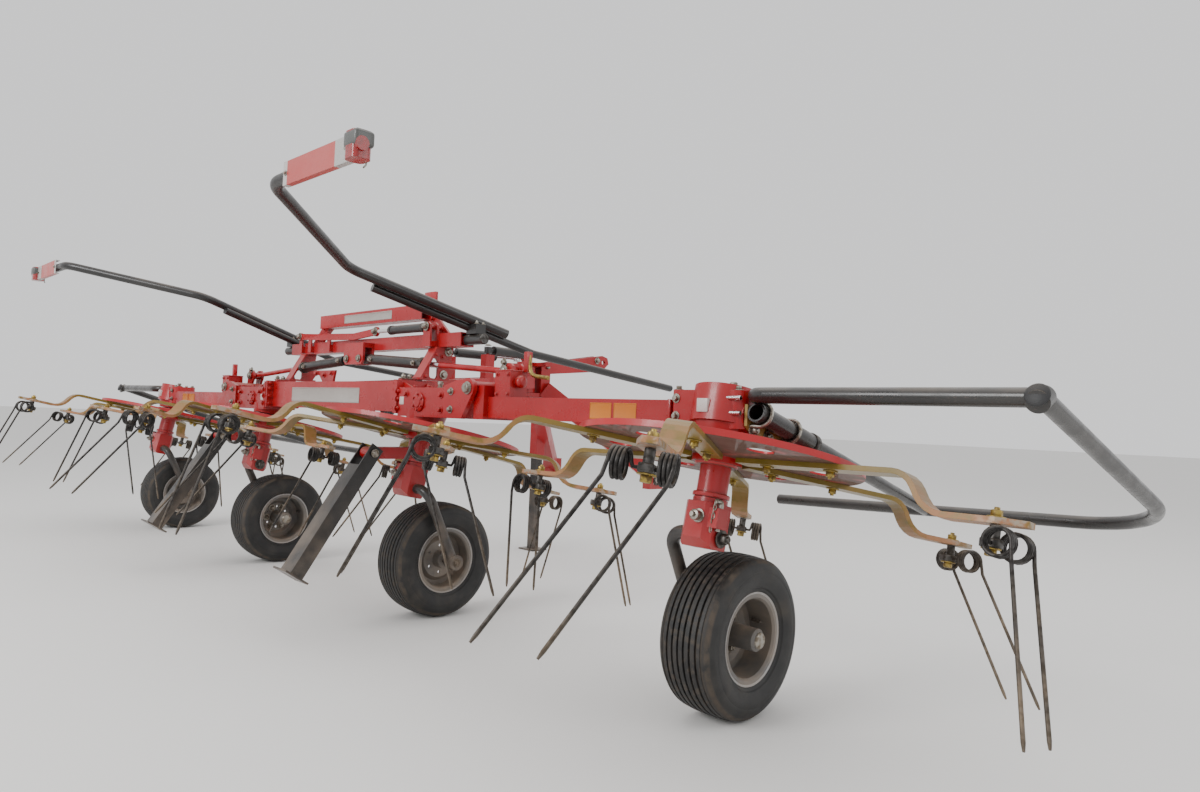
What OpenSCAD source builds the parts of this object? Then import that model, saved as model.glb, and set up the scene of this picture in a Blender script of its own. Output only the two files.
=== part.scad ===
// Mounted hay tedder with four tined rotors, standing unfolded on its wheels.
// Millimetres. +X is the machine's right, +Y the way it travels, +Z up.
// Local frames: each rotor's own z axis is its leaning post, with 0 at the drive shaft.

/* [Layout] */
// Distance between neighbouring rotor posts
rotor_pitch = 1300; // [1280:1:1330]
// Forward lean of the rotor posts in degrees
tilt = 12; // [10:0.5:13]
// Height of the drive shafts inside the beams
drive_z = 755; // [745:1:770]
// Distance of the rotor beams behind the part's origin
beam_back = 346; // [300:1:420]
// Distance of the wheel axles ahead of the rotor beams
wheel_lead = 60; // [40:1:80]

/* [Wheels] */
// Outer diameter of the tyre
tyre_d = 405; // [395:1:410]
// Widest width of the tyre
tyre_w = 165; // [155:1:170]
// Diameter of the rim's bead seat
rim_d = 203; // [195:1:206]
// Width of the rim between its flanges
rim_w = 124; // [116:1:130]
// Depth of the grooves between the tread ribs
groove_depth = 5; // [3:0.5:7]
// Diameter of the wheel spindle
spindle_d = 25; // [20:1:28]

/* [Rotors] */
// Diameter of the rotor dish
dish_d = 700; // [660:5:720]
// Thickness of the dish plate
dish_t = 5; // [4:0.5:6]
// Height of the dish above the drive shaft, downwards positive
dish_drop = 107; // [104:1:112]
// Outer diameter of the post tube
post_d = 76; // [70:1:80]
// Width of a flat tine arm
arm_w = 50; // [44:1:56]
// Thickness of a flat tine arm
arm_t = 12; // [10:1:14]
// Number of arms on a rotor
arm_count = 6; // [6:1:6]
// Radius at which the tine coils sit
coil_r = 700; // [680:1:710]
// How far the arm's end lies below its root
arm_drop = 78; // [70:1:84]

/* [Tines] */
// Wire diameter of the tines
wire_d = 9; // [8:0.5:10]
// Outer diameter of a tine coil
coil_d = 60; // [54:1:64]
// Windings in a coil
coil_turns = 4; // [3:1:5]
// Distance between the two coils of a tine
coil_gap = 84; // [78:1:92]
// Height that a tine leg spans along the rotor's axis
leg_fall = 318; // [300:1:330]
// How far a leg's tip stands out beyond its coil
leg_out = 96; // [80:1:105]
// How far a leg's tip trails behind its coil
leg_trail = 130; // [110:1:145]

/* [Beams] */
// Half length of the central beam up to its flanges
main_half = 548; // [530:1:560]
// Height of the central beam
main_h = 113; // [100:1:120]
// Depth of the central beam from front to back
main_depth = 100; // [90:1:110]
// Height of a wing beam
wing_h = 68; // [60:1:76]
// Depth of a wing beam from front to back
wing_depth = 90; // [80:1:96]

/* [Fold hinges] */
// Distance of the fold hinges from the middle
hinge_x = 995; // [985:1:1005]
// Height of the fold hinges
hinge_z = 812; // [806:1:818]
// Diameter of the hinge pins
hinge_pin_d = 30; // [24:1:34]

/* [Portal] */
// Height of the portal's lower cross beam
portal_z = 1002; // [998:1:1006]
// Distance of that beam ahead of the rotor beams
portal_y = 130; // [120:1:140]
// Distance of the uprights from the middle
upright_x = 550; // [545:1:560]

/* [Headstock] */
// Distance of the swivel pin ahead of the rotor beams
swivel_y = 1000; // [980:1:1020]
// Distance of the lower link pins ahead of the rotor beams
link_y = 1560; // [1540:1:1600]
// Height of the lower link pins
link_z = 430; // [400:1:450]
// Distance between the shoulders of the lower link pins
link_span = 825; // [825:1:827]
// Diameter of the lower link pins
link_d = 28; // [22:1:28]
// Height of the top link bore above the lower link pins
mast_h = 610; // [600:1:620]

/* [Joints] */
// Highest fold of a wing in degrees
fold_max = 100; // [90:1:100]
// Lowest hang of a wing in degrees
fold_min = -3; // [-5:1:0]
// Swing of the headstock to each side in degrees
swing_max = 15; // [10:1:18]
// Swivel of each wheel to each side in degrees
steer_max = 12; // [5:1:15]
// Lift of the front stand
stand_lift = 350; // [300:10:400]

/* [Hidden] */
$fn = 48;

RED = "#b3262a";
OLIVE = "#a38a3c";
BLACK = "#1c1c1e";
STEEL = "#8d8f92";

// Where the two tips of a tine lie beside their arm: outwards, then trailing behind it
tip_r = coil_r + coil_d / 2 - wire_d / 2 + leg_out;
tip_spread = (coil_gap + (coil_turns - 1) * wire_d) / 2;
near_tip = leg_trail - tip_spread;
far_tip = leg_trail + tip_spread;
// Turn of the second and fourth rotor, at which both outer rotors' tips reach out equally
// far. The first and third stand half a step between two arms from it, so that arms mesh
mesh = 30;
right_phase = atan2(far_tip * sin(mesh) - tip_r * (1 - cos(mesh)),
  tip_r * sin(mesh) + near_tip - far_tip * cos(mesh));

// Where each rotor stands: name, x, way it turns seen from above, angle of its first arm,
// side of the wheel that its leg runs down (1 is the machine's right)
R_X = 1;
R_TURN = 2;
R_PHASE = 3;
R_SIDE = 4;
ROTORS = [
  ["left_outer", -1.5 * rotor_pitch, -1, mesh - right_phase, 1],
  ["left_inner", -0.5 * rotor_pitch, 1, right_phase, -1],
  ["right_inner", 0.5 * rotor_pitch, -1, mesh - right_phase, 1],
  ["right_outer", 1.5 * rotor_pitch, 1, right_phase, -1]
];

// Clearances
fit_gap = 0.05;
seat_gap = 0.3;
run_gap = 6;

// Levels on a rotor post, along its axis from the drive shaft
post_r = post_d / 2;
housing_low = -70;
hub_top = housing_low - run_gap;
hub_low = -dish_drop - dish_t - 16;
hub_r = 62;
arm_top = -dish_drop - dish_t - 0.1;
ring_s = -214;
bracket_low = -335;
pivot_r = 25;

// Arm and coil levels
arm_root_r = 76;
arm_bend_r = 470;
arm_curve = 60;
arm_slope = 60;
arm_end_r = coil_r + 34;
arm_end_top = arm_top - arm_drop;
coil_drop = 5;
coil_s = arm_end_top - arm_t - coil_d / 2 - coil_drop;

tyre_r = tyre_d / 2;
wheel_z = tyre_r;
beam_top = drive_z + 83;
beam_low = beam_top - main_h;

// Moves what follows into the frame of the rotor at x
module at_rotor(x) {
  translate([x, 0, drive_z]) rotate([-tilt, 0, 0]) children();
}

// A plate with rounded corners lying in XY, centred, rising from z = 0
module round_plate(size, r, t) {
  linear_extrude(t) {
    union() {
      square([size[0] - 2 * r, size[1]], center = true);
      square([size[0], size[1] - 2 * r], center = true);
      for (sx = [-1, 1], sy = [-1, 1])
        translate([sx * (size[0] / 2 - r), sy * (size[1] / 2 - r)]) circle(r);
    }
  }
}

// A rectangular hollow section along X, centred on the axis
module box_tube_x(length, depth, height, wall) {
  difference() {
    cube([length, depth, height], center = true);
    cube([length + 2, depth - 2 * wall, height - 2 * wall], center = true);
  }
}

// A straight bar between two points, round, with radius r
module round_bar(a, b, r) {
  d = b - a;
  len = norm(d);
  translate(a)
    rotate([0, acos(d[2] / len), atan2(d[1], d[0])])
      cylinder(h = len, r = r);
}

// A straight square bar between two points
module square_bar(a, b, w, h) {
  d = b - a;
  len = norm(d);
  translate(a)
    rotate([0, acos(d[2] / len), atan2(d[1], d[0])])
      translate([-h / 2, -w / 2, 0]) cube([h, w, len]);
}

// A round tube along points, each bend an arc of the given radius
function unit(v) = v / norm(v);
function bend_angle(p, i) = acos(unit(p[i] - p[i - 1]) * unit(p[i + 1] - p[i]));
function bend_cut(p, i, bend) =
  (i == 0 || i == len(p) - 1) ? 0 : bend * tan(bend_angle(p, i) / 2);
// The arcs are a hair thinner than the straights and reach into them, so that both fuse
bend_lap = 1;
bend_ease = 0.02;
module bent_bar(points, r, bend, ease = bend_ease) {
  last = len(points) - 1;
  for (i = [0:last - 1]) {
    d = unit(points[i + 1] - points[i]);
    round_bar(points[i] + d * (i == 0 ? 0 : bend_cut(points, i, bend) - bend_lap / 2),
      points[i + 1] - d * (i + 1 == last ? 0 : bend_cut(points, i + 1, bend) - bend_lap / 2), r);
  }
  for (i = [1:len(points) - 2]) {
    ahead = unit(points[i] - points[i - 1]);
    turn_axis = unit(cross(ahead, points[i + 1] - points[i]));
    out = -cross(turn_axis, ahead);
    centre = points[i] - ahead * bend_cut(points, i, bend) - out * bend;
    lap_angle = bend_lap / bend * 180 / PI;
    multmatrix([
      [out[0], ahead[0], turn_axis[0], centre[0]],
      [out[1], ahead[1], turn_axis[1], centre[1]],
      [out[2], ahead[2], turn_axis[2], centre[2]],
      [0, 0, 0, 1]
    ]) rotate(-lap_angle) rotate_extrude(angle = bend_angle(points, i) + 2 * lap_angle)
      translate([bend, 0]) circle(r - ease);
  }
}

// Turns a path in the plane into a strip of even thickness t below it
function strip_normal(p, i) =
  let (a = p[max(i - 1, 0)], b = p[min(i + 1, len(p) - 1)], d = b - a)
  [d[1], -d[0]] / norm(d);
function strip(p, t) = concat(
  [for (q = p) q],
  [for (i = [len(p) - 1:-1:0]) p[i] + t * strip_normal(p, i)]
);

// The wheels

// Half of the tyre's outline from crown to bead: radius, half width
TYRE_SIDE = [[1, 0.36], [0.985, 0.42], [0.93, 0.475], [0.83, 0.5], [0.74, 0.49], [0.62, 0.43]];
tyre_wall = 9;
bead_r = rim_d / 2 + seat_gap;
bead_w = rim_w / 2 - seat_gap;
rib_count = 5;
rib_w = 0.72 * tyre_w / rib_count;

module tyre_profile() {
  inner_r = tyre_r - groove_depth - tyre_wall;
  difference() {
    polygon(concat(
      [for (p = TYRE_SIDE) [p[0] * tyre_r, p[1] * tyre_w]],
      [[bead_r + 17, bead_w], [bead_r, bead_w], [bead_r, -bead_w], [bead_r + 17, -bead_w]],
      [for (i = [len(TYRE_SIDE) - 1:-1:0]) [TYRE_SIDE[i][0] * tyre_r, -TYRE_SIDE[i][1] * tyre_w]]
    ));
    // Air space, open towards the rim
    polygon([
      [inner_r, 0.34 * tyre_w], [0.83 * tyre_r, 0.5 * tyre_w - tyre_wall],
      [0.7 * tyre_r, 0.46 * tyre_w - tyre_wall], [bead_r - 1, rim_w / 2 - 14],
      [bead_r - 1, -rim_w / 2 + 14], [0.7 * tyre_r, -0.46 * tyre_w + tyre_wall],
      [0.83 * tyre_r, -0.5 * tyre_w + tyre_wall], [inner_r, -0.34 * tyre_w]
    ]);
    // Grooves between the ribs
    for (i = [1:rib_count - 1])
      translate([tyre_r, (i - rib_count / 2) * rib_w])
        polygon([[1, -4], [1, 4], [-groove_depth, 2], [-groove_depth, -2]]);
  }
}

module tyre(x) {
  color(BLACK)
    translate([x, wheel_lead, wheel_z]) rotate([0, 90, 0])
      rotate_extrude($fn = 72) tyre_profile();
}

// Rim, disc and hub of a wheel; side is where its leg runs, so the hub cap faces away
hub_outer_r = 30;
cap_len = 18;
disc_t = 6;
disc_s = -26;
disc_hole_r = 5;

module rim(x, side) {
  seat = rim_d / 2;
  flange = seat + 15;
  lip = 4;
  half = rim_w / 2;
  color(STEEL)
    translate([x, wheel_lead, wheel_z]) rotate([0, -90 * side, 0])
      difference() {
        rotate_extrude($fn = 72) polygon([
          [spindle_d / 2 + fit_gap, -half], [hub_outer_r, -half], [hub_outer_r, disc_s],
          [66, disc_s], [78, disc_s + 12], [seat - 6, disc_s + 12], [seat - 5, -half + 2],
          [seat, -half - lip], [flange, -half - lip], [flange, -half], [seat, -half], [seat, half],
          [flange, half], [flange, half + lip], [seat, half + lip], [seat - 5, half - 2],
          [seat - 5, disc_s + 12 + disc_t], [76, disc_s + 12 + disc_t], [64, disc_s + disc_t],
          [hub_outer_r, disc_s + disc_t], [hub_outer_r - 2, half + cap_len],
          [hub_outer_r - 8, half + cap_len + 6], [0, half + cap_len + 6], [0, half + cap_len - 6],
          [spindle_d / 2 + fit_gap, half + cap_len - 6]
        ]);
        for (a = [0:60:300]) rotate(a) translate([48, 0, disc_s - 1])
          cylinder(h = disc_t + 2, r = disc_hole_r);
      }
}

// Post foot, bent leg and spindle that carry a wheel
leg_tube_d = 34;
leg_side = tyre_w / 2 + 12 + leg_tube_d / 2;
leg_s = -303;
leg_bend = 50;
lug_w = 34;
lug_s = -262;
lug_pin_r = 6;

module bracket_section() {
  polygon([[-44, -34], [-26, -52], [26, -52], [44, -34], [44, 30], [26, 44], [-26, 44], [-44, 30]]);
}

module leg(x, side) {
  start = [x, leg_s * sin(tilt), drive_z + leg_s * cos(tilt)];
  color(RED) at_rotor(x) difference() {
    union() {
      translate([0, 0, bracket_low]) linear_extrude(ring_s - 12 - bracket_low) bracket_section();
      translate([0, 0, ring_s - 12]) cylinder(h = 11.5, r = post_r + 5);
      // Lug of the index pin that sets the wheel straight or swivelled
      translate([-side * 44 - lug_w / 2, -44, lug_s - 24]) cube([lug_w, 40, 48]);
    }
    translate([0, 0, bracket_low + 20]) cylinder(h = 200, r = pivot_r + fit_gap);
    translate([-side * (44 + lug_w / 4), -24, lug_s - 25]) cylinder(h = 50, r = lug_pin_r);
    // Foot chamfered up towards the back and the front
    for (f = [-1, 1]) translate([0, f * 26, bracket_low]) rotate([f * 40, 0, 0])
      translate([-60, f > 0 ? 0 : -60, -60]) cube([120, 60, 60]);
  }
  color(BLACK) {
    bent_bar([start + [side * 43.5, 0, 0], start + [side * leg_side, 0, 0],
      [x + side * leg_side, wheel_lead, wheel_z]], leg_tube_d / 2, leg_bend);
    // Spindle boss and spindle
    translate([x + side * leg_side, wheel_lead, wheel_z]) rotate([0, -90 * side, 0]) {
      translate([0, 0, -leg_tube_d / 2 - 4]) cylinder(h = leg_tube_d + 8, r = 27);
      cylinder(h = leg_side + rim_w / 2 + cap_len - 7, r = spindle_d / 2);
    }
  }
}

// The rotors

// Dish profile with its upturned rim, and the hub that turns on the post
module dish(x, phase) {
  rim_r = dish_d / 2;
  top = -dish_drop;
  color(RED) at_rotor(x) difference() {
    rotate_extrude($fn = 96) polygon([
      [post_r + fit_gap, hub_low], [hub_r, hub_low], [hub_r, top - dish_t],
      [rim_r, top - dish_t], [rim_r, top + 10], [rim_r - 4, top + 10], [rim_r - 7, top],
      [hub_r + 60, top], [hub_r + 16, top + 9], [hub_r + 6, hub_top], [post_r + fit_gap, hub_top]
    ]);
    // Round windows pressed between the arms
    for (i = [0:arm_count - 1])
      rotate(phase + (i + 0.5) * 360 / arm_count) translate([0.72 * rim_r, 0, top - 10])
        cylinder(h = 20, r = 30);
  }
}

// Side view of a flat arm: straight under the dish, S-bend down, flat toe over the coils
arm_path = concat(
  [[arm_root_r, 0], [arm_bend_r, 0]],
  [for (a = [15:15:arm_slope]) [arm_bend_r + arm_curve * sin(a), -arm_curve * (1 - cos(a))]],
  [for (a = [arm_slope:-15:0]) [
    arm_bend_r + arm_curve * (2 * sin(arm_slope) - sin(a))
      + (arm_drop - 2 * arm_curve * (1 - cos(arm_slope))) / tan(arm_slope),
    -arm_drop + arm_curve * (1 - cos(a))
  ]],
  [[arm_end_r, -arm_drop]]
);
toe_len = arm_end_r - coil_r + coil_d;
toe_tip = 0.56;

module arms(x, turn, phase) {
  color(OLIVE) at_rotor(x)
    for (i = [0:arm_count - 1]) rotate(phase + i * 360 / arm_count)
      difference() {
        translate([0, arm_w / 2, arm_top]) rotate([90, 0, 0])
          linear_extrude(arm_w) polygon(strip(arm_path, arm_t));
        // The toe is worn to a narrower tip on its trailing side
        translate([arm_end_r, -turn * arm_w / 2, arm_end_top - 2 * arm_t]) linear_extrude(4 * arm_t)
          polygon([[-toe_len * toe_tip, 0], [1, turn * arm_w * (1 - toe_tip)], [1, -turn],
            [-toe_len * toe_tip, -turn]]);
      }
}

// A double spring tine: two coils beside the arm's toe and a leg from each
coil_len = coil_turns * wire_d;
scallop = wire_d * 0.18;

module coil() {
  outer = coil_d / 2;
  rotate([90, 0, 0]) translate([0, 0, -coil_len / 2]) rotate_extrude($fn = 32) polygon(concat(
    [[outer - wire_d, 0], [outer - scallop, 0]],
    [for (i = [0:coil_turns - 1], k = [0.25, 0.75, 1])
      [outer - (k == 1 ? scallop : 0), (i + k) * wire_d]],
    [[outer - wire_d, coil_len]]
  ));
}

module tine_pair(turn) {
  mid = coil_d / 2 - wire_d / 2;
  for (s = [-1, 1]) translate([coil_r, s * coil_gap / 2, coil_s]) {
    coil();
    round_bar([mid, s * (coil_len - wire_d) / 2, 0],
      [mid + leg_out, s * (coil_len - wire_d) / 2 - turn * leg_trail, -leg_fall], wire_d / 2);
  }
  // Bridge that clamps under the toe
  translate([coil_r - mid, 0, coil_s]) rotate([90, 0, 0])
    cylinder(h = coil_gap - coil_len + wire_d, r = wire_d / 2, center = true);
  translate([coil_r - mid - 7, 0, coil_s]) cube([30, 28, 14], center = true);
  translate([coil_r - mid, 0, coil_s]) cylinder(h = arm_end_top - arm_t - coil_s - seat_gap, r = 9);
}

module tines(x, turn, phase) {
  color(BLACK) at_rotor(x)
    for (i = [0:arm_count - 1]) rotate(phase + i * 360 / arm_count) tine_pair(turn);
}

// Gear housings and posts

// Casting over the bevel gears, the fixed post below it and the pin that the wheel leg turns on
module post(x) {
  at_rotor(x) {
    difference() {
      translate([0, 0, ring_s]) cylinder(h = housing_low - ring_s + 1, r = post_r);
    }
    translate([0, 0, bracket_low + 26]) cylinder(h = ring_s - bracket_low - 20, r = pivot_r);
    translate([0, 0, housing_low]) cylinder(h = 40, r1 = 66, r2 = 74);
  }
}

module outer_post(side) {
  // Housing with a round back under its flat lid
  x = 1.5 * rotor_pitch;
  mirror([side < 0 ? 1 : 0, 0, 0]) color(RED) {
    post(x);
    translate([x - 26, 6, drive_z - 36]) round_plate([224, 122], 30, 93);
    at_rotor(x) translate([0, 0, housing_low + 38]) cylinder(h = 92, r = 84);
    translate([x - 90, 0, drive_z - 4]) rotate([0, 90, 0]) cylinder(h = 174, r = 44);
  }
}

ear_r = 31;
ear_t = 16;
// Front and rear faces of the moving hinge block, and the gap beside it
block_rear = -64;
block_front = 102;
ear_gap = 6;
casting_end = 885;

// Inner housing reaches from the beam's flange out to the hinge ears
module inner_post(x) {
  low = drive_z - 44;
  top = drive_z + 58;
  flange_x = main_half + seat_gap;
  post(x);
  translate([(flange_x + casting_end) / 2, 0, low])
    round_plate([casting_end - flange_x, 150], 24, top - low);
  translate([flange_x, -80, beam_low - 6]) cube([14, 160, main_h + 6]);
  // Ribs that brace the flange on the casting
  for (y = [-52, 44]) translate([flange_x + 13, y + 8, top - 1]) rotate([90, 0, 0])
    linear_extrude(8) polygon([[0, 0], [0, 22], [70, 0]]);
  // Ears of the fold hinge
  for (y = [block_rear - ear_gap - ear_t, block_front + ear_gap])
    translate([0, y + ear_t, 0]) rotate([90, 0, 0]) linear_extrude(ear_t) {
      translate([hinge_x, hinge_z]) circle(ear_r);
      polygon([[casting_end - 20, low], [casting_end - 20, top + 6], [hinge_x - 60, hinge_z + 26],
        [hinge_x, hinge_z + ear_r - 0.5], [hinge_x + 24, hinge_z - 19], [hinge_x - 30, low]]);
    }
  translate([casting_end - 20, block_rear - ear_gap - ear_t, low])
    cube([20, block_front - block_rear + 2 * (ear_gap + ear_t), top - low]);
  translate([hinge_x, block_front + ear_gap + ear_t + 12, hinge_z]) rotate([90, 0, 0])
    cylinder(h = block_front - block_rear + 2 * (ear_gap + ear_t) + 24, r = hinge_pin_d / 2);
  // Rear arm that carries the parking stand
  translate([x - 25, stand_y, stand_z - 20]) cube([50, -stand_y - post_r / 2, 40]);
  translate([x - 25, stand_y, stand_z]) rotate([0, 90, 0]) cylinder(h = 50, r = 20);
  translate([x - 40, stand_y, stand_z]) rotate([0, 90, 0]) cylinder(h = 80, r = stand_pin_r);
}

module inner_posts() {
  color(RED) for (m = [0, 1]) mirror([m, 0, 0]) inner_post(rotor_pitch / 2);
}

// Frame

module main_beam() {
  color(RED) {
    // Bracket on the beam's top, left of the middle
    translate([0, 4, 0]) rotate([90, 0, 0]) linear_extrude(10) polygon([
      [-150, beam_top - 1], [-62, beam_top - 1], [-52, beam_top + 32], [-46, beam_top + 50],
      [-236, beam_top + 50], [-240, beam_top + 38], [-182, beam_top + 28]]);
    translate([0, 0, (beam_top + beam_low) / 2])
      box_tube_x(2 * main_half - 20, main_depth, main_h, 8);
    for (m = [-1, 1]) translate([m * (main_half - 7), 0, (beam_top + beam_low) / 2]) difference() {
      cube([14, 156, main_h + 8], center = true);
      cube([16, 60, 60], center = true);
    }
  }
}

// Uprights, lower and top cross beams and the pivot tube whose ends carry the board bars
lower_h = 52;
lower_half = 686;
lower_depth = 60;
top_z = 1120;
top_y = 130;
top_half = 415;
top_depth = 56;
top_h = 58;
flange_w = 42;
foot_t = 10;
plate_t = 10;
pivot_tube_r = 19;
pivot_tube_z = portal_z - 2;
pivot_half = 786;
// Anchor pins of the fold cylinders
anchor_x = 50;
anchor_z = 940;
rod_y = 74;
eye_w = 30;
eye_gap = 1.5;
// Slot in the uprights through which the cylinders' rods pass
slot_r = 18;
slot_low = 870;
slot_high = 914;
cyl_pin_r = 10;

module upright() {
  foot_z = beam_top + foot_t;
  // The lower cross beam is seated on the top edges
  low_z = portal_z - lower_h / 2 - seat_gap - 1;
  rear = portal_y - lower_depth / 2;
  // Side plate, open where the cylinder's rod passes
  translate([upright_x, 0, 0]) rotate([90, 0, 90]) linear_extrude(plate_t) difference() {
    polygon([[14, foot_z], [140, foot_z], [170, 892], [152, 928], [rear + lower_depth, low_z],
      [rear + lower_depth, low_z + 1], [rear - 14, low_z + 1]]);
    for (z = [slot_low, slot_high]) translate([rod_y, z]) circle(slot_r);
    translate([rod_y - slot_r, slot_low]) square([2 * slot_r, slot_high - slot_low]);
  }
  // Rear flange leaning forward
  translate([upright_x - flange_w, 0, 0]) rotate([90, 0, 90]) linear_extrude(flange_w + plate_t)
    polygon([[14, foot_z], [24, foot_z], [rear - 4, low_z + 1], [rear - 14, low_z + 1]]);
  translate([upright_x - flange_w, -44, beam_top])
    cube([main_half - 15 - upright_x + flange_w, 88, foot_t + 0.5]);
  translate([upright_x - flange_w, 14, beam_top + foot_t]) cube([flange_w + plate_t, 126, 8]);
}

module portal() {
  anchor_rear = rod_y - eye_w / 2 - eye_gap - plate_t;
  anchor_front = rod_y + eye_w / 2 + eye_gap;
  lock_linkage();
  color(RED) {
    for (m = [0, 1]) mirror([m, 0, 0]) {
      // Leaning end plates between the two cross beams
      translate([0, portal_y + 20, 0]) rotate([90, 0, 0]) linear_extrude(plate_t) polygon([
        [top_half - 40, top_z], [top_half - 40, top_z - 30], [top_half + 60, portal_z + 20],
        [top_half + 150, portal_z + 20], [top_half + 8, top_z + 20]]);
    }
    translate([0, portal_y, portal_z]) box_tube_x(2 * lower_half, lower_depth, lower_h, 5);
    translate([0, top_y, top_z]) box_tube_x(2 * top_half, top_depth, top_h, 4);
    // Anchor of the fold cylinders, hung behind the lower beam
    translate([-80, anchor_rear, portal_z - 16])
      cube([160, portal_y - lower_depth / 2 - anchor_rear + 1, 20]);
    for (y = [anchor_rear, anchor_front])
      translate([0, y + plate_t, 0]) rotate([90, 0, 0]) linear_extrude(plate_t) polygon([
        [-80, portal_z], [80, portal_z], [80, anchor_z - 8], [64, anchor_z - 24],
        [-64, anchor_z - 24], [-80, anchor_z - 8]]);
    for (m = [-1, 1]) translate([m * anchor_x, anchor_front + plate_t, anchor_z])
      rotate([90, 0, 0]) cylinder(h = anchor_front - anchor_rear + plate_t, r = cyl_pin_r);
  }
  color(BLACK) for (m = [0, 1]) mirror([m, 0, 0])
    translate([lower_half - 40, portal_y, pivot_tube_z]) rotate([0, 90, 0])
      cylinder(h = pivot_half - lower_half + 40, r = pivot_tube_r);
}

// Lock linkage behind the gap between the two cross beams: cylinder, flat bar and its hangers
lock_y = 82;
lock_z = 1052;
lock_r = 17;
lock_rod_r = 8;
lock_right = 520;
lock_left = -560;
lock_eye = 120;
lock_bar = [28, 10];
lock_ear_t = 8;

module lock_linkage() {
  rear = portal_y - lower_depth / 2;
  low = portal_z - lower_h / 2;
  color(BLACK) {
    translate([lock_eye + 110, lock_y, lock_z]) rotate([0, 90, 0]) cylinder(h = 250, r = lock_r);
    translate([lock_eye, lock_y, lock_z]) rotate([0, 90, 0])
      cylinder(h = lock_right - lock_eye, r = lock_rod_r);
  }
  color(RED) {
    for (y = [lock_y - 20, lock_y + 12]) translate([0, y + lock_ear_t, 0]) rotate([90, 0, 0])
      linear_extrude(lock_ear_t) polygon([
        [lock_right - 30, low], [lock_right + 24, low], [lock_right + 20, lock_z + 8],
        [lock_right + 8, lock_z + 18], [lock_right - 8, lock_z + 18], [lock_right - 22, lock_z + 4]]);
    translate([lock_right - 30, lock_y - 20, low]) cube([54, rear + 1 - lock_y + 20, 22]);
    translate([lock_right, lock_y + 24, lock_z]) rotate([90, 0, 0]) cylinder(h = 48, r = 9);
    // Flat bar with its eye on the cylinder's rod
    translate([0, lock_y + lock_bar[1] / 2, 0]) rotate([90, 0, 0]) linear_extrude(lock_bar[1]) {
      polygon([
        [lock_left, lock_z + 20], [lock_left + 160, lock_z + 12], [-60, lock_z - 14 + lock_bar[0] / 2],
        [lock_eye, lock_z + lock_bar[0] / 2], [lock_eye, lock_z - lock_bar[0] / 2],
        [-60, lock_z - 14 - lock_bar[0] / 2], [lock_left + 160, lock_z + 12 - lock_bar[0]],
        [lock_left, lock_z + 20 - lock_bar[0]]]);
      translate([lock_eye, lock_z]) circle(20);
      translate([lock_left, lock_z + 6]) circle(18);
    }
    for (x = [lock_left, lock_left + 90, lock_left + 270]) {
      translate([x - 13, lock_y, low + 6]) cube([26, 8, lock_z - low]);
      translate([x - 13, lock_y, low + 6]) cube([26, rear + 1 - lock_y, 30]);
    }
  }
}

// Bent bars that carry the warning boards
bar_r = 17;
bar_bend = 90;
board_y = -775;
board_z = 1305;
rear_bar = [[765, 250, 1031], [643, -334, 1196], [1044, board_y, board_z], [1440, board_y, board_z + 6]];
front_bar = [[775, 1200, 884], [767, 380, 969], [637, -242, 1146]];

module board_bars() {
  color(BLACK) for (m = [0, 1]) mirror([m, 0, 0]) {
    bent_bar(rear_bar, bar_r, bar_bend);
    bent_bar(front_bar, bar_r - 2, bar_bend);
    // Saddle that seats both tubes on the pivot tube's end
    translate([706, portal_y - 22, pivot_tube_z + pivot_tube_r + seat_gap]) cube([58, 44, 36]);
  }
}

board_x = 1147;
board_len = 334;
board_h = 60;
board_t = 3;
board_edge = 16;
module boards() {
  color("crimson") for (m = [0, 1]) mirror([m, 0, 0])
    translate([board_x, board_y - bar_r - board_t - seat_gap, board_z + 2]) difference() {
      // Tray whose edges fold forward over and under the bar
      rotate([90, 0, 90]) linear_extrude(board_len) polygon([
        [0, -board_h / 2], [board_edge, -board_h / 2], [board_edge, board_t - board_h / 2],
        [board_t, board_t - board_h / 2], [board_t, board_h / 2 - board_t],
        [board_edge, board_h / 2 - board_t], [board_edge, board_h / 2], [0, board_h / 2]]);
      for (x = [14, board_len - 14]) translate([x, -1, 0]) rotate([-90, 0, 0])
        cylinder(h = board_t + 2, r = 4);
    }
}

lamp_size = [50, 46];
lamp_h = 62;
module lamps() {
  color("darkred") for (m = [0, 1]) mirror([m, 0, 0])
    translate([board_x + board_len + lamp_size[0] / 2 + seat_gap, board_y - 14, board_z - lamp_h / 2 + 1]) {
      round_plate(lamp_size, 14, lamp_h);
      translate([lamp_size[0] / 2 - 1, -6, lamp_h / 2]) rotate([0, 90, 0]) cylinder(h = 7, r = 16);
    }
}

// Drawbar from the main beam to the swivel head
head_r = 48;
head_h = 130;
head_z = 850;
swivel_r = 25;
damper_y = 640;
damper_x = 150;
damper_z = 1025;
damper_pin_r = 8;

cradle_y = 510;
cradle_t = 12;
crossbar_z = beam_top - 10;

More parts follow.
